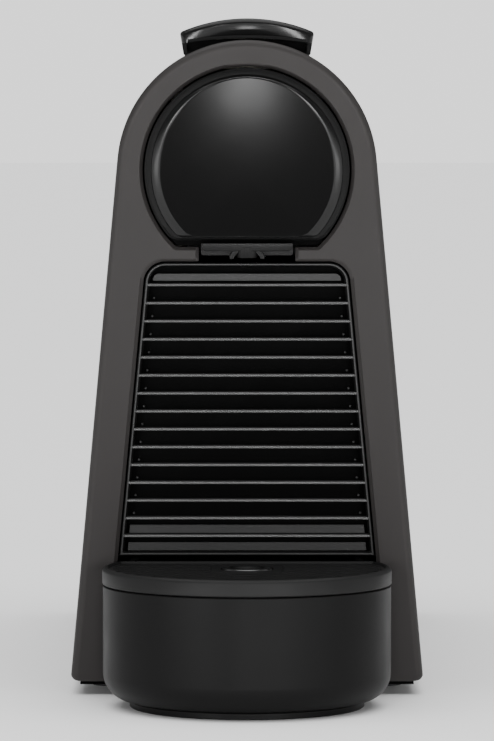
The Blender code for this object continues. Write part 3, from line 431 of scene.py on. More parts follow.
def wound(name, colour):
    """Varnished wire under tape."""
    finish, tree, shader, where = nodes_of(name, colour, 0.4)
    turns = tree.nodes.new("ShaderNodeTexWave")
    turns.bands_direction = "Z"
    turns.inputs["Scale"].default_value = 320.0
    turns.inputs["Distortion"].default_value = 0.4
    tree.links.new(where, turns.inputs["Vector"])
    dull = tuple(part * 0.6 for part in colour)
    tree.links.new(tint(tree, turns.outputs["Fac"], dull, colour), shader.inputs["Base Color"])
    relief(tree, shader, turns.outputs["Fac"], 0.4, 0.0002)
    return finish


FINISHES = {
    "shell_grey": moulded("shell_grey_moulding", (0.0185, 0.0168, 0.0164), 0.50, 3000, 0.2, 0.03,
                          0.03, 0.18),
    "cover_gloss": polished("cover_gloss", (0.001, 0.001, 0.001), 0.17, 0.07),
    "grille_black": moulded("grille_black_gloss", (0.003, 0.003, 0.003), 0.3, 1500, 0.02, 0.04,
                            0.04),
    "lever_black": moulded("lever_black_satin", (0.006, 0.006, 0.006), 0.19, 1800, 0.02, 0.03,
                           0.04, 0.2),
    "satin_black": moulded("satin_black_moulding", (0.0052, 0.0052, 0.0052), 0.42, 2400, 0.12,
                           0.04, 0.06, 0.06),
    "matt_black": moulded("matt_black_moulding", (0.0012, 0.0012, 0.0012), 0.7, 2000, 0.3, 0.05,
                          0.1, 0.03),
    "rubber": soft_rubber("foot_rubber", (0.010, 0.010, 0.010)),
    "steel": brushed("brushed_steel", (0.60, 0.60, 0.61), 0.28),
    "aluminium": cast("cast_aluminium", (0.66, 0.66, 0.67), 0.42),
    "brass": brushed("turned_brass", (0.62, 0.45, 0.20), 0.25, (1, 1, 1)),
    "silicone_hose": silicone("silicone_hose", (0.75, 0.73, 0.70)),
    "natural_nylon": moulded("natural_nylon_moulding", (0.58, 0.56, 0.50), 0.45, 1500, 0.15),
    "board_green": solder_mask("board_green_lacquer", (0.010, 0.090, 0.035)),
    "coil_winding": wound("coil_winding_tape", (0.45, 0.28, 0.05)),
    "tank_smoke": smoked("tank_smoke_clear", (0.35, 0.35, 0.37)),
}


RIM_FINISH = moulded("cover_rim_satin", (0.004, 0.004, 0.004), 0.42, 2400, 0.15, glint=0.08)
BEVEL_FINISH = polished("cover_bevel_gloss", (0.003, 0.003, 0.003), 0.24, 0.30)
OUTLET_FINISH = moulded("outlet_satin", (0.0045, 0.0045, 0.0045), 0.4, 2000, 0.02, glint=0.15)
# the slats are the grille's black plastic given a lighter grey: a painted highlight where light
# catches their front edges
SLAT_HIGHLIGHT_FINISH = moulded("slat_painted_highlight", (0.034, 0.034, 0.034), 0.4, 1800, 0.01, 0.03, glint=0.3)
# the bands are the grille's black plastic given a lighter grey: painted light on its sloping top
# band and floor; the pips at the gap ends share this colour
BAND_LIGHT_FINISH = moulded("band_painted_light", (0.023, 0.023, 0.023), 0.45, 1800, 0.05, glint=0.2)
# a thin ring of the grille's black plastic in a lighter grey: a painted highlight along the rim's
# edge
EDGE_HIGHLIGHT_FINISH = moulded("rim_edge_painted_highlight", (0.022, 0.022, 0.022), 0.4, 1800, 0.02, glint=0.3)
GRID_FINISH = moulded("grid_satin", (0.009, 0.009, 0.009), 0.45, 2400, 0.1, glint=0.1)
DISH_FINISH = polished("dish_gloss", (0.004, 0.004, 0.004), 0.2, 1.0)


def give(piece, body, slot, replaced=(), finish=None):
    """Puts a piece on its body, in its finish, and in the place of the CAD nodes that it shows."""
    piece.data.materials.clear()
    piece.data.materials.append(finish or FINISHES[slot])
    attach(piece, body)
    if replaced:
        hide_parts(*replaced)
    return piece


def refinish_cad():
    """Every CAD node that stays gets its slot's finish."""
    slots = {part["node"]: part["material_slot"] for part in frame["record"]["subparts"]}
    for node, thing in frame["nodes"].items():
        for place in thing.material_slots:
            place.material = FINISHES[slots[node]]


refinish_cad()

# ---- studio


CAMERA_PLACE = (0, -1.5705, 0.178)
CAMERA_PITCH = math.radians(2.99)
CAMERA_LENS = 232.96


def make_camera():
    """In front, level with the head and looking slightly down."""
    lens = bpy.data.cameras.new("camera")
    lens.sensor_width = 36
    lens.lens = CAMERA_LENS
    lens.clip_end = 20
    camera = bpy.data.objects.new("camera", lens)
    camera.location = CAMERA_PLACE
    camera.rotation_euler = (math.radians(90) - CAMERA_PITCH, 0, 0)
    bpy.context.scene.collection.objects.link(camera)
    bpy.context.scene.camera = camera


def softbox(name, place, target, size, power):
    light = bpy.data.lights.new(name, "AREA")
    light.shape = "RECTANGLE"
    light.size, light.size_y = size
    light.energy = power
    lamp = bpy.data.objects.new(name, light)
    lamp.location = place
    lamp.rotation_euler = (Vector(target) - Vector(place)).to_track_quat("-Z", "Y").to_euler()
    lamp.visible_camera = False
    bpy.context.scene.collection.objects.link(lamp)


def make_lights():
    head = (0, -0.13, 0.16)
    for name, side, across in (("left", -1, 0.80), ("right", 1, 0.60)):
        softbox(f"front_{name}", (side * across, -1.35, 0.08), (0, -0.12, 0.05), (0.22, 0.30), 9)
        softbox(f"side_{name}", (side * 1.5, 0.1, 0.5), (0, -0.05, 0.10), (1.0, 1.2), 1.5)
        softbox(f"low_{name}", (side * 0.30, -0.38, 0.02), (0, -0.10, 0.04), (0.20, 0.11), 0.40)
        softbox(f"lever_{name}", (side * 0.36, -1.37, 0.24), (0, -0.12, 0.204), (0.09, 0.10), 1.7)
    softbox("low_front", (0, -0.60, 0.012), head, (0.05, 0.10), 1.0)
    sun = bpy.data.lights.new("overhead", "SUN")
    sun.energy = 4.3
    sun.angle = math.radians(80)
    lamp = bpy.data.objects.new("overhead", sun)
    lamp.rotation_euler = (math.radians(8), 0, 0)
    bpy.context.scene.collection.objects.link(lamp)


def make_world():
    """A soft, dim room for the light, with a pale wall where the camera looks past the machine."""
    world = bpy.data.worlds.new("studio")
    world.use_nodes = True
    tree = world.node_tree
    room = tree.nodes["Background"]
    room.inputs["Color"].default_value = (0.94, 0.95, 0.96, 1)
    room.inputs["Strength"].default_value = 0.25
    wall = tree.nodes.new("ShaderNodeBackground")
    wall.inputs["Color"].default_value = (1, 1, 1, 1)
    wall.inputs["Strength"].default_value = 1.5
    sight = tree.nodes.new("ShaderNodeLightPath")
    mix = tree.nodes.new("ShaderNodeMixShader")
    tree.links.new(sight.outputs["Is Camera Ray"], mix.inputs["Fac"])
    tree.links.new(room.outputs["Background"], mix.inputs[1])
    tree.links.new(wall.outputs["Background"], mix.inputs[2])
    tree.links.new(mix.outputs["Shader"], tree.nodes["World Output"].inputs["Surface"])
    bpy.context.scene.world = world


def make_floor():
    work = bmesh.new()
    bmesh.ops.create_grid(work, x_segments=1, y_segments=1, size=40)
    floor = made("floor", work)
    floor.data.materials.append(moulded("pale_floor", (0.9, 0.9, 0.9), 0.8, 300, 0.02, 0.02, 0.004))


make_camera()
make_lights()
make_world()
make_floor()

# ---- shapes that follow the leaning front


def on_front(outline, depth):
    return [(x, front_y(z) + depth, z) for x, z in outline]


def layered(name, layers, sharp=35, caps=(True, True)):
    """Outlines on the leaning front, each at its depth, skinned from the first to the last."""
    work = bmesh.new()
    skin(work, [on_front(outline, depth) for outline, depth in layers], *caps)
    return made(name, work, sharp)


def leaning(name, outline, front, back):
    return layered(name, [(outline, front), (outline, back)])


def opening(grow):
    """The hole in the front: the head's round, its neck, the container and the tray's notch."""
    foot = bin_half(TRAY_NOTCH_Z) + grow
    right = [(TRAY_NOTCH_HALF + grow, -0.02, 0), (TRAY_NOTCH_HALF + grow, TRAY_NOTCH_Z + grow, 0),
             (foot, TRAY_NOTCH_Z + grow, 0), (bin_half(BIN_TOP) + grow, BIN_TOP + grow, BIN_CORNER),
             (NECK_HALF + grow, BIN_TOP + grow, 0.0004),
             (NECK_HALF + grow, HEAD_FLAT_Z - grow, 0.0004)]
    left = [(-x, z, radius) for x, z, radius in reversed(right)]
    round_part = [(x, z, 0) for x, z in cut_circle(HEAD_HOLE + grow, HEAD_FLAT_Z - grow, 150)]
    return rounded(right + round_part + left)


def column(name, outline, bottom, top):
    """An outline in (x, y) made solid between two heights."""
    work = bmesh.new()
    skin(work, [[(x, y, z) for x, y in outline] for z in (bottom, top)], True, True)
    return made(name, work)


def box_outline(left, low_side, right, high_side, radius):
    return rounded([(left, low_side, radius), (right, low_side, radius),
                    (right, high_side, radius), (left, high_side, radius)])


# ---- housing


EDGE_ROUND = 0.0025
FRAME_THICK = 0.003
SLOT_HALF = 0.0193
SLOT_FRONT = -0.122
SLOT_BACK = -0.0252
BUTTON_X = 0.011
BUTTON_Y = 0.005
BUTTON_RADIUS = 0.0065
RUN_GAP = 0.0004


def button_axis(side):
    """Where a button's axis meets the dome, and the way that it points."""
    lean = math.asin(BUTTON_X / DOME_RADIUS)
    out = Vector((side * math.sin(lean), 0, math.cos(lean)))
    return Vector((0, BUTTON_Y, DOME_Z)) + out * DOME_RADIUS, out


def button_rod(name, side, deep, proud, radius):
    foot, out = button_axis(side)
    return rod(name, foot + out * deep, foot + out * proud, radius, sides=96)


def make_housing():
    rings = [[(x, SHELL_BACK, z) for x, z in arch(0.0005)],
             [(x, SHELL_BACK - 0.0005, z) for x, z in arch()]]
    for step in range(9):
        turn = math.radians(90) * step / 8
        rings.append(on_front(arch(EDGE_ROUND * (1 - math.cos(turn))),
                              EDGE_ROUND * (1 - math.sin(turn))))
    work = bmesh.new()
    skin(work, rings, True, True)
    housing = made("housing", work)
    work = bmesh.new()
    inner = arch(WALL, -0.02, 0.001)
    skin(work, [on_front(inner, FRAME_THICK), [(x, SHELL_BACK + 0.01, z) for x, z in inner]],
         True, True)
    combine(housing, [made("inside", work)])
    bosses = []
    # the lower pair ends past the shell's side, where half_width(z, 0.001) would be the limit
    for x, z, wide in ((-0.0475, 0.020, 0.007), (0.0475, 0.020, 0.007), (0, 0.1964, 0.004)):
        bosses.append(block("boss", (x - wide, 0.088, z - 0.004), (x + wide, 0.0998, z + 0.0045)))
    combine(housing, bosses, "UNION")
    chamfer = 0.0011
    front_hole = layered("front_hole", [(opening(chamfer), -0.02), (opening(chamfer), -0.0001),
                                        (opening(0), chamfer), (opening(0), 0.02)])
    slot = column("slot", box_outline(-SLOT_HALF, SLOT_FRONT, SLOT_HALF, SLOT_BACK, 0.0015),
                  HINGE.z - 0.004, HEIGHT + 0.01)
    cutters = [front_hole, slot]
    cutters += [button_rod("hole", side, -0.02, 0.01, BUTTON_RADIUS + RUN_GAP) for side in (-1, 1)]
    cutters += [rod("screw_hole", (x, 0.086, z), (x, 0.11, z), 0.0018)
                for x, z in ((-0.0445, 0.020), (0.0445, 0.020), (0, 0.1957))]
    combine(housing, cutters, sharp=40)
    weighted = housing.modifiers.new("even shading on the flat faces", "WEIGHTED_NORMAL")
    weighted.keep_sharp = True
    give(housing, "machine_body", "shell_grey", ["housing_shell"])


# ---- head


FACE_RADIUS = 0.0263
FACE_TOP = 0.0282
BEVEL_RADIUS = 0.0289
COVER_RADIUS = high("head_cover").x
COVER_FLAT = low("head_cover").z + 0.0002


def cut_disc(radius, flat, centre, corner=0.0012, taller=1.0, arc_steps=140, flat_steps=24):
    """A circle with a flat at the bottom whose corners are cut, and a top half made taller."""
    start = math.asin((flat - centre) / radius) + corner / radius
    points = [(x, centre + (z - centre) * (taller if z > centre else 1))
              for x, z in arc((0, centre), radius, start, math.pi - start, arc_steps)]
    half = radius * math.cos(start - corner / radius) - corner
    points += [(-half + 2 * half * step / flat_steps, flat) for step in range(flat_steps + 1)]
    return points


def make_cover():
    flat = COVER_FLAT
    layers = [(cut_disc(COVER_RADIUS, flat, DOME_Z), 0.0012),
              (cut_disc(COVER_RADIUS, flat, DOME_Z), -0.0001),
              (cut_disc(COVER_RADIUS - 0.0001, flat + 0.0001, DOME_Z), -0.0004),
              (cut_disc(COVER_RADIUS - 0.0005, flat + 0.0004, DOME_Z), -0.0006),
              (cut_disc(COVER_RADIUS - 0.0008, flat + 0.0006, DOME_Z), -0.0004),
              (cut_disc(BEVEL_RADIUS, flat + 0.0008, DOME_Z), -0.0004)]
    rim = layered("cover_rim", layers)
    give(rim, "machine_body", "satin_black", ["head_cover"], RIM_FINISH)
    tall = FACE_TOP / FACE_RADIUS - 1
    bevel = layered("cover_bevel", [
        (cut_disc(BEVEL_RADIUS, flat + 0.0008, DOME_Z), -0.0002),
        (cut_disc(BEVEL_RADIUS, flat + 0.0008, DOME_Z), -0.0005),
        (cut_disc(0.0286, flat + 0.0009, DOME_Z, taller=1 + tall * 0.1), -0.0008),
        (cut_disc(0.0278, flat + 0.0010, DOME_Z, taller=1 + tall * 0.35), -0.0013),
        (cut_disc(0.0270, flat + 0.0011, DOME_Z, taller=1 + tall * 0.7), -0.0017),
        (cut_disc(FACE_RADIUS, flat + 0.0012, DOME_Z, taller=1 + tall), -0.0019)], 50)
    give(bevel, "machine_body", "cover_gloss", ["head_cover"], BEVEL_FINISH)
    dome = [(cut_disc(FACE_RADIUS + 0.0001, flat + 0.0012, DOME_Z, taller=1 + tall), -0.0014),
            (cut_disc(FACE_RADIUS + 0.0001, flat + 0.0012, DOME_Z, taller=1 + tall), -0.0018),
            (cut_disc(FACE_RADIUS - 0.0003, flat + 0.0014, DOME_Z, taller=1 + tall), -0.0020)]
    for index in range(1, 14):
        share = math.cos(math.radians(90) * index / 14)
        centre = DOME_Z - 0.002 * (1 - share)
        low_side = centre - (centre - flat - 0.0014) * share
        dome.append((cut_disc((FACE_RADIUS - 0.0003) * share, low_side, centre, 0.0012 * share,
                              1 + tall), -0.0020 - 0.0008 * (1 - share ** 2)))
    face = layered("cover_face", dome, 50)
    give(face, "machine_body", "cover_gloss", ["head_cover"])


def make_outlet():
    """The lip under the cover, the nozzle with its two fins, and the duct behind them."""
    def bar(bottom, top, corner):
        return rounded([(-0.0139, bottom, corner), (0.0139, bottom, corner), (0.0139, top, 0.0003),
                        (-0.0139, top, 0.0003)])

    lip = layered("coffee_outlet", [(bar(0.1385, 0.1409, 0.0017), depth)
                                    for depth in (-0.0026, 0.0013)])
    soften(lip, 0.0004, 3)
    settle(lip)
    shelf = layered("shelf", [(bar(0.1372, 0.1396, 0.0008), depth) for depth in (0.0006, 0.016)])
    tip = Vector((0, -0.122, low("coffee_outlet").z))
    spout = turned("spout", tip, [(0.0018, 0.0028), (0.0018, 0.0002), (0.0020, 0), (0.0028, 0),
                                  (0.0031, 0.0004), (0.0036, 0.0030), (0.0018, 0.0030)], 64)
    duct = block("duct", (-0.005, -0.112, 0.1376), (0.005, -0.1046, 0.151))
    fins = []
    for side in (-1, 1):
        fins.append(leaning("fin", [(side * 0.0020, 0.1388), (side * 0.0040, 0.1386),
                                    (side * 0.0053, 0.1371), (side * 0.0052, 0.1361),
                                    (side * 0.0041, 0.1362), (side * 0.0036, 0.1372)],
                            -0.0016, 0.0014))
    combine(lip, [shelf, spout, duct, *fins], "UNION")
    give(lip, "machine_body", "satin_black", ["coffee_outlet"], OUTLET_FINISH)


# ---- the used-capsule container's ribbed front


SLAT_COUNT = 15
SLAT_TOP_Z = 0.1281
SLAT_LOW_Z = 0.0503
GRILLE_RIM = 0.0017


def grille_outline(inset, bottom=None, top=BIN_TOP):
    """The container's outline: sides that spread downward and rounded top corners."""
    foot = (low("bin_grille").z if bottom is None else bottom) + inset
    wide = bin_half(foot, inset)
    corner = max(BIN_CORNER - inset, 0.0015)
    return rounded([(-wide, foot, 0.0002), (wide, foot, 0.0002),
                    (bin_half(top, inset), top - inset, corner),
                    (-bin_half(top, inset), top - inset, corner)])


def make_grille():
    front, back = 0.0008, 0.0044
    rim_in = GRILLE_RIM
    rim = layered("grille_rim", [
        (grille_outline(RUN_GAP), back), (grille_outline(RUN_GAP), front + 0.0005),
        (grille_outline(RUN_GAP + 0.0003), front + 0.0002),
        (grille_outline(RUN_GAP + 0.0006), front + 0.0002),
        (grille_outline(rim_in - 0.0002), front + 0.0009),
        (grille_outline(rim_in), front + 0.0012),
        (grille_outline(rim_in), back), (grille_outline(RUN_GAP), back)],
        caps=(False, False))
    give(rim, "used_capsule_bin", "grille_black", ["bin_grille"])
    # thin lighter ring round the grille: painted highlight along the rim's edge
    line = layered("grille_highlight_line", [
        (grille_outline(0.0007), front + 0.0006), (grille_outline(0.0007), front + 0.0001),
        (grille_outline(0.0008), front), (grille_outline(0.0011), front),
        (grille_outline(0.0012), front + 0.0001), (grille_outline(0.0012), front + 0.0006),
        (grille_outline(0.0007), front + 0.0006)], caps=(False, False))
    give(line, "used_capsule_bin", "grille_black", ["bin_grille"], EDGE_HIGHLIGHT_FINISH)
    pitch = (SLAT_TOP_Z - SLAT_LOW_Z) / (SLAT_COUNT - 1)
    work = bmesh.new()
    for index in range(SLAT_COUNT):
        z = SLAT_TOP_Z - pitch * index
        blade = [(0.0003, 0.00045), (0.0000, 0.00030), (0.0000, -0.00025), (0.0004, -0.00045),
                 (0.0026, -0.00045), (0.0030, 0.0001), (0.0026, 0.00060)]
        half = bin_half(z, 0.0012)
        rings = [[(side * half, front_y(z) + front + 0.0004 + depth, z + rise)
                  for depth, rise in blade] for side in (-1, 1)]
        skin(work, rings, True, True)
    # lighter slat colour: painted highlight on the slats' front edges
    slats = made("grille_slats", work)
    give(slats, "used_capsule_bin", "lever_black", ["bin_grille"], SLAT_HIGHLIGHT_FINISH)
    work = bmesh.new()
    for index in range(1, SLAT_COUNT - 1):
        z = SLAT_TOP_Z - pitch * index + 0.0015
        for side in (-1, 1):
            place = Vector((side * bin_half(z, rim_in + 0.0019), front_y(z) + back - 0.0004, z))
            bmesh.ops.create_uvsphere(work, u_segments=12, v_segments=8, radius=0.0004,
                                      matrix=Matrix.Translation(place))
    # the pips take the bands' lighter grey, which is painted light
    give(made("grille_pips", work), "used_capsule_bin", "grille_black", ["bin_grille"], BAND_LIGHT_FINISH)
    work = bmesh.new()
    bands = ((0.1294, 0.1315), (0.0512, 0.0537), (0.0457, 0.0482))
    for bottom, top in bands:
        corner = 0.0018 if top > SLAT_TOP_Z else 0.0002
        wide_low, wide_high = bin_half(bottom, rim_in + 0.0011), bin_half(top, rim_in + 0.0011)
        outline = rounded([(-wide_low, bottom, 0.0002), (wide_low, bottom, 0.0002),
                           (wide_high, top, corner), (-wide_high, top, corner)])
        skin(work, [on_front(outline, depth) for depth in (front + 0.0016, back)], True, True)
    # lighter band colour: painted light on the grille's sloping top band and floor
    give(made("grille_bands", work), "used_capsule_bin", "satin_black", ["bin_grille"], BAND_LIGHT_FINISH)


# ---- drip tray


def make_tray():
    rim = TRAY_RADIUS
    foot_radius, top = 0.0355, 0.0371
    outer = [(0.0, 0.0), (foot_radius - 0.0002, 0.0), (foot_radius + 0.0002, 0.0003),
             (foot_radius + 0.0002, 0.0018), (foot_radius - 0.0002, 0.0021)]
    outer += [(foot_radius + (rim - foot_radius) * math.sin(math.radians(turn)),
               0.0105 - 0.0083 * math.cos(math.radians(turn))) for turn in range(4, 91, 5)]
    outer += [(rim, 0.0368), (rim - 0.0003, top)]
    wall = 0.0018
    inner = [(rim - wall, top), (rim - wall, 0.012), (rim - wall - 0.006, 0.0046),
             (rim - wall - 0.009, 0.0038), (0.0, 0.0038)]
    bowl = turned("drip_tray", (0, TRAY_Y, 0), outer + inner, 192)
    tongue = block("tongue", (-0.0365, -0.0950, 0.006), (0.0365, -0.040, 0.0429))
    soften(tongue, 0.0015, 3)
    settle(tongue)
    combine(bowl, [tongue], "UNION")
    well = rod("well", (0, TRAY_Y, 0.012), (0, TRAY_Y, 0.06), rim - wall, sides=192)
    hollow = block("hollow", (-0.0365 + wall, -0.0932, 0.0078), (0.0365 - wall, -0.0418, 0.06))
    mouth = block("mouth", (-0.028, -0.120, 0.012), (0.028, -0.080, 0.034))
    combine(bowl, [well, hollow, mouth], sharp=30)
    give(bowl, "tray", "satin_black", ["drip_tray"])


def make_grid():
    edge = high("cup_grid").x
    start = math.asin((GRID_BACK - TRAY_Y) / edge)
    angles = (math.pi - start, math.tau + start)

    def outline(inset):
        return arc((0, TRAY_Y), edge - inset, *angles, 150)

    work = bmesh.new()
    levels = [(0.0003, GRID_LOW), (0.0, GRID_LOW + 0.0003), (0.0, GRID_TOP - 0.0011),
              (0.0001, GRID_TOP - 0.0008), (0.0004, GRID_TOP - 0.0004), (0.0008, GRID_TOP - 0.0001),
              (0.0011, GRID_TOP), (0.0016, GRID_TOP), (0.0018, GRID_TOP - 0.0003),
              (0.0020, GRID_TOP - 0.0007)]
    skin(work, [[(x, y - (inset if y > GRID_BACK - 0.0001 else 0), z) for x, y in outline(inset)]
                for inset, z in levels], True, True)
    grid = made("cup_grid", work)
    first, last = low("cup_grid").y + 0.0046, GRID_BACK - 0.0030
    pitch = 0.0052
    count = int((last - first) / pitch)
    work = bmesh.new()
    for index in range(count + 1):
        y = first + index * pitch
        reach = math.sqrt((edge - 0.0030) ** 2 - (y - TRAY_Y) ** 2)
        near = abs(y - TRAY_Y) < 0.0107
        for left, right in (((-reach, -0.0107), (0.0107, reach)) if near else ((-reach, reach),)):
            outline_here = box_outline(left, y - 0.0012, right, y + 0.0012, 0.0009)
            skin(work, [[(x, at, z) for x, at in outline_here]
                        for z in (GRID_LOW - 0.002, GRID_TOP + 0.002)], True, True)
    slots = made("slots", work)
    hole = rod("hole", (0, TRAY_Y, GRID_LOW - 0.004), (0, TRAY_Y, GRID_TOP + 0.004), 0.0081,
               sides=96)
    combine(grid, [slots, hole])
    give(grid, "tray", "satin_black", ["cup_grid"], GRID_FINISH)


def make_dish():
    dish = turned("drip_dish", (0, TRAY_Y, GRID_LOW), [
        (0.0077, 0.0020), (0.0077, 0.0044), (0.0075, 0.0047), (0.0068, 0.0047),
        (0.0064, 0.0044), (0.0040, 0.0016), (0.0022, 0.0008), (0.0018, 0.0000),
        (0.0018, -0.0040), (0.0028, -0.0040), (0.0030, -0.0030), (0.0040, -0.0008),
        (0.0077, 0.0020)], 96)
    give(dish, "tray", "lever_black", ["drip_dish"], DISH_FINISH)


# ---- lever


LEVER_HALF = high("lever").x
LEVER_ARC = 0.052
LEVER_NOSE = low("lever").y
LEVER_WIDE_BACK = HINGE.y - 0.0125
TAIL_HALF = 0.0186
TAIL_THICK = 0.0025
DRUM_START = math.radians(36)
DRUM_SWEEP = math.radians(88)
LIP_ARC = 0.13
LIP_CENTRE = (0, 0.2026 - LIP_ARC)
PIVOT_BORE = 0.0033
CRANK_BORE = 0.0023


def crown(half, drop=0.0, steps=40):
    """The lever's crowned top, from right to left."""
    radius = LEVER_ARC - drop
    lean = math.asin(half / radius)
    return arc((0, HEIGHT - LEVER_ARC), radius, math.pi / 2 - lean, math.pi / 2 + lean, steps)


def make_lever():
    skirt_low = 0.1979

    def section(inset, foot):
        """The handle's outside: crowned top, rounded shoulders, skirts that draw in downward."""
        half = LEVER_HALF - inset
        crown_end = crown(half, inset, 2)[0][1]
        left, right = (-half, crown_end), (half, crown_end)
        foot_half = half - 0.0011
        corners = [(foot_half, foot, 0), (*right, 0.0011), *[(x, z, 0) for x, z in
                   crown(half - 0.0022, inset)], (*left, 0.0011), (-foot_half, foot, 0)]
        return rounded(corners, count=8)

    nose_round = 0.0016
    rings = []
    for step in range(7):
        turn = math.radians(90) * step / 6
        inset, back = nose_round * (1 - math.sin(turn)), nose_round * (1 - math.cos(turn))
        rings.append([(x, LEVER_NOSE + back + 1.1 * x * x / 0.12, z)
                      for x, z in section(inset, skirt_low)])
    rings.append([(x, LEVER_NOSE + 0.012, z) for x, z in section(0, skirt_low)])
    rings.append([(x, LEVER_WIDE_BACK - 0.0008, z) for x, z in section(0, skirt_low)])
    rings.append([(x, LEVER_WIDE_BACK, z) for x, z in section(0.0006, skirt_low)])
    work = bmesh.new()
    skin(work, rings, True, True)
    strips = 32
    for strip in range(1, strips):
        across = LEVER_HALF * 0.98 * (2 * strip / strips - 1)
        bmesh.ops.bisect_plane(work, geom=work.verts[:] + work.edges[:] + work.faces[:],
                               dist=1e-7, plane_co=(across, 0, 0), plane_no=(1, 0, 0))
    handle = made("lever", work)
    under = [(x, z - 0.0008) for x, z in section(0.0019, 0.19)]
    hollow = prism("hollow", under, lambda z: LEVER_NOSE + 0.007,
                   lambda z: LEVER_WIDE_BACK - 0.0025)
    nose_cut = prism("nose_cut", [(-0.03, 0.19), (0.03, 0.19), (0.03, 0.1990)]
                     + arc(LIP_CENTRE, LIP_ARC, math.pi / 2 - 0.138, math.pi / 2 + 0.138, 24)
                     + [(-0.03, 0.1990)], lambda z: LEVER_NOSE - 0.01,
                     lambda z: LEVER_NOSE + 0.0075)
    skirts = block("skirts", (-0.0184, LEVER_WIDE_BACK - 0.01, 0.19),
                   (0.0184, LEVER_WIDE_BACK + 0.01, 0.1992))
    combine(handle, [hollow, nose_cut, skirts])
    lip = prism("lip", arc(LIP_CENTRE, LIP_ARC + 0.0009, math.pi / 2 - 0.137,
                           math.pi / 2 + 0.137, 32)
                + arc(LIP_CENTRE, LIP_ARC, math.pi / 2 + 0.138, math.pi / 2 - 0.138, 32),
                lambda z: LEVER_NOSE, lambda z: LEVER_NOSE + 0.006)
    for corner in lip.data.vertices:
        if corner.co.y < LEVER_NOSE + 0.003:
            corner.co.y = LEVER_NOSE - 0.0003 + 9 * corner.co.x ** 2
    strip = crown(TAIL_HALF) + list(reversed(crown(TAIL_HALF, TAIL_THICK)))
    work = bmesh.new()
    face = work.faces.new([work.verts.new((x, HINGE.y, z)) for x, z in strip])
    bmesh.ops.rotate(work, verts=face.verts, cent=HINGE,
                     matrix=Matrix.Rotation(-DRUM_START, 3, (-1, 0, 0)))
    bmesh.ops.spin(work, geom=[face, *face.edges, *face.verts], cent=HINGE, axis=(-1, 0, 0),
                   angle=DRUM_SWEEP, steps=30)
    drum = made("drum", work)
    parts = [drum, lip]
    for side in (-1, 1):
        near, far = sorted((side * 0.013, side * 0.016))
        web = rounded([(HINGE.y - 0.011, 0.1875, 0.002), (HINGE.y + 0.0055, HINGE.z, 0),
                       (HINGE.y + 0.0055, 0.2040, 0), (HINGE.y - 0.013, 0.2040, 0)])
        work = bmesh.new()
        skin(work, [[(x, y, z) for y, z in web] for x in (near, far)], True, True)
        parts.append(made("arm", work))
        parts.append(rod("hub", (near + 0.0001, HINGE.y, HINGE.z), (far - 0.0001, HINGE.y, HINGE.z),
                         0.006, sides=64))
    combine(handle, parts, "UNION")
    crank = middle("crank_pin")
    bores = [rod("pivot_bore", (-0.02, HINGE.y, HINGE.z), (0.02, HINGE.y, HINGE.z), PIVOT_BORE),
             rod("crank_bore", (-0.02, crank.y, crank.z), (0.02, crank.y, crank.z), CRANK_BORE)]
    combine(handle, bores, sharp=30)
    give(handle, "lever", "lever_black", ["lever"])


# ---- buttons, feet, tank


def make_button(node, side, body, ring_radius):
    foot, out = button_axis(side)
    turn = Vector((0, 0, 1)).rotation_difference(out).to_matrix().to_4x4()
    edge = BUTTON_RADIUS
    cap = turned(node, foot, [
        (0, -0.005), (edge, -0.005), (edge, 0.0004), (edge - 0.0002, 0.0008),
        (edge - 0.0007, 0.001), (ring_radius + 0.0004, 0.0009), (ring_radius + 0.0002, 0.0006),
        (ring_radius - 0.0002, 0.0006), (ring_radius - 0.0004, 0.0009), (0, 0.0008)], 96, turn)
    give(cap, body, "satin_black", [node])


def make_feet():
    for node in ("foot_front_left", "foot_front_right", "foot_rear_left", "foot_rear_right"):
        near, far = low(node), high(node)
        radius = (far.x - near.x) / 2
        tall = far.z
        foot = turned(node, (middle(node).x, middle(node).y, 0), [
            (0, 0.0004), (radius - 0.0026, 0.0004), (radius - 0.0022, 0), (radius - 0.0008, 0),
            (radius - 0.0002, 0.0003), (radius, 0.0009), (radius, tall), (0, tall)], 96)
        give(foot, "machine_body", "rubber", [node])


TANK_WALL = 0.002
TANK_LEAN = math.radians(6)
LID_BORE = 0.0013
KNUCKLE = 0.0022
TANK_FRONT = low("water_tank").y
TANK_LOW = low("water_tank").z
TANK_TOP = 0.167
TANK_BACK = high("water_tank").y


def tank_back(z, inset=0.0):
    return TANK_BACK - (z - TANK_LOW) * math.tan(TANK_LEAN) - inset


def tank_rings(inset, foot_z, edge, corner=0.003):
    """Rings from the tank's front to its leaning back, with rounded edges at both."""
    rings = []
    for step in range(5):
        turn = math.radians(90) * step / 4
        away, along = edge * (1 - math.sin(turn)), edge * (1 - math.cos(turn))
        rings.append([(x, TANK_FRONT + inset + along, z)
                      for x, z in arch(inset + away, foot_z, corner)])
    for step in range(5):
        turn = math.radians(90) * (4 - step) / 4
        away, along = edge * (1 - math.sin(turn)), edge * (1 - math.cos(turn))
        rings.append([(x, tank_back(z, inset) - along, z)
                      for x, z in arch(inset + away, foot_z, corner)])
    return rings


def tank_solid(name, inset, foot_z, edge, corner=0.003):
    work = bmesh.new()
    skin(work, tank_rings(inset, foot_z, edge, corner), True, True)
    return made(name, work)


def hinge_rings(sides, near, far, web_y, web_z):
    """Hinge knuckles round the lid's axis, each on a short web."""
    rings = []
    for side in sides:
        left, right = sorted((side * near, side * far))
        rings.append(rod("knuckle", (left, LID_AXIS.y, LID_AXIS.z), (right, LID_AXIS.y, LID_AXIS.z),
                         KNUCKLE))
        rings.append(block("web", (left + 0.0001, web_y, web_z[0]),
                           (right - 0.0001, LID_AXIS.y, web_z[1])))
    return rings


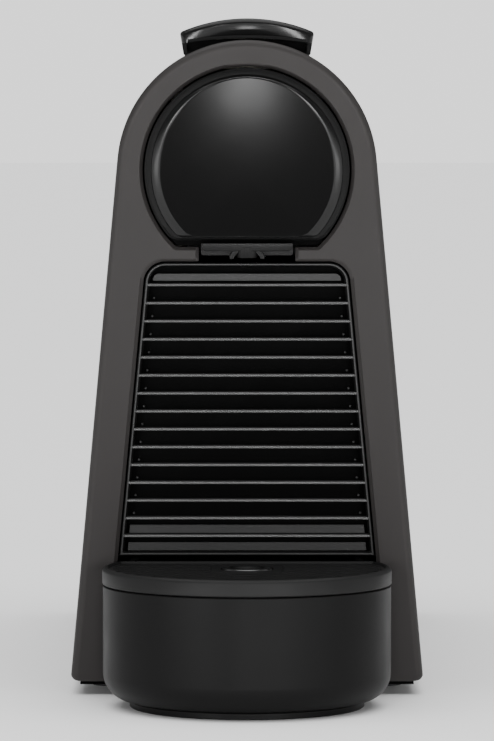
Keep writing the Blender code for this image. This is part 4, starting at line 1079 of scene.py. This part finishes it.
def make_tank():
    tank = tank_solid("water_tank", 0, TANK_LOW, 0.0012)
    inside = tank_solid("tank_inside", TANK_WALL, TANK_LOW + 0.0022, 0.0008, 0.002)
    above = block("above", (-0.08, 0.09, TANK_TOP), (0.08, 0.20, 0.25))
    valve = middle("tank_valve")
    hole = rod("valve_hole", (0, valve.y, 0.01), (0, valve.y, 0.024), 0.0073)
    combine(tank, [inside, above, hole])
    combine(tank, hinge_rings((-1, 1), 0.0190, 0.0240, 0.1455,
                              (LID_AXIS.z - 0.0021, LID_AXIS.z - 0.0004)), "UNION")
    bore = rod("bore", (-0.03, LID_AXIS.y, LID_AXIS.z), (0.03, LID_AXIS.y, LID_AXIS.z), LID_BORE)
    combine(tank, [bore])
    give(tank, "tank", "tank_smoke", ["water_tank"])


def make_lid():
    lid = tank_solid("tank_lid", 0, 0.12, 0.0012)
    inside = tank_solid("lid_inside", TANK_WALL, 0.12, 0.0008)
    below = block("below", (-0.08, 0.09, 0.10), (0.08, 0.20, TANK_TOP + RUN_GAP))
    combine(lid, [inside, below])
    combine(lid, hinge_rings((-1, 1), 0.0080, 0.0186, 0.1440,
                             (LID_AXIS.z + 0.0009, LID_AXIS.z + 0.0021)), "UNION")
    bore = rod("bore", (-0.03, LID_AXIS.y, LID_AXIS.z), (0.03, LID_AXIS.y, LID_AXIS.z), LID_BORE)
    combine(lid, [bore])
    give(lid, "lid", "satin_black", ["tank_lid"])


# ---- the inner works: the designed shapes with softened edges


def refine(node, radius):
    """A working part in its designed shape, with the moulded or machined edges it would have."""
    source = frame["nodes"][node]
    work = bmesh.new()
    work.from_mesh(source.data)
    bmesh.ops.remove_doubles(work, verts=work.verts, dist=2e-6)
    bmesh.ops.dissolve_limit(work, angle_limit=math.radians(2), verts=work.verts,
                             edges=work.edges)
    sharp = [edge for edge in work.edges
             if len(edge.link_faces) == 2 and edge.calc_face_angle() > math.radians(50)]
    bmesh.ops.bevel(work, geom=sharp, offset=radius, offset_type="OFFSET", affect="EDGES",
                    segments=2, profile=0.5, material=-1, clamp_overlap=True)
    give(made(node + "_detailed", work, 30), body_of(source)[0], SLOTS[node], [node])


SLOTS = {part["node"]: part["material_slot"] for part in frame["record"]["subparts"]}
SOFT_EDGES = {
    "base_plate": 0.0005, "rear_bulkhead": 0.0004, "head_bezel": 0.0003, "capsule_bin": 0.0004,
    "brew_frame_left": 0.0003, "brew_frame_right": 0.0003, "piercing_plate": 0.0003,
    "capsule_funnel": 0.0003, "injector_block": 0.0003, "thermoblock": 0.0006,
    "heater_bracket": 0.0003, "thermostat": 0.0003, "pump_coil": 0.0006,
    "pump_damper_lower": 0.0004, "pump_damper_upper": 0.0004, "flow_meter": 0.0003,
    "board_transformer": 0.0004, "board_relay": 0.0003, "board_capacitor": 0.0003,
    "mains_terminal": 0.0003, "cord_gland": 0.0003, "tank_valve": 0.0002, "tank_socket": 0.0002,
    "cage_carrier": 0.0003, "capsule_cage": 0.0003, "switch_small_cup": 0.0002,
    "switch_large_cup": 0.0002,
}

for node, radius in SOFT_EDGES.items():
    refine(node, radius)

make_housing()
make_cover()
make_outlet()
make_grille()
make_tray()
make_grid()
make_dish()
make_lever()
make_button("button_small_cup", -1, "small_cup_button", 0.0020)
make_button("button_large_cup", 1, "large_cup_button", 0.0034)
make_feet()
make_tank()
make_lid()
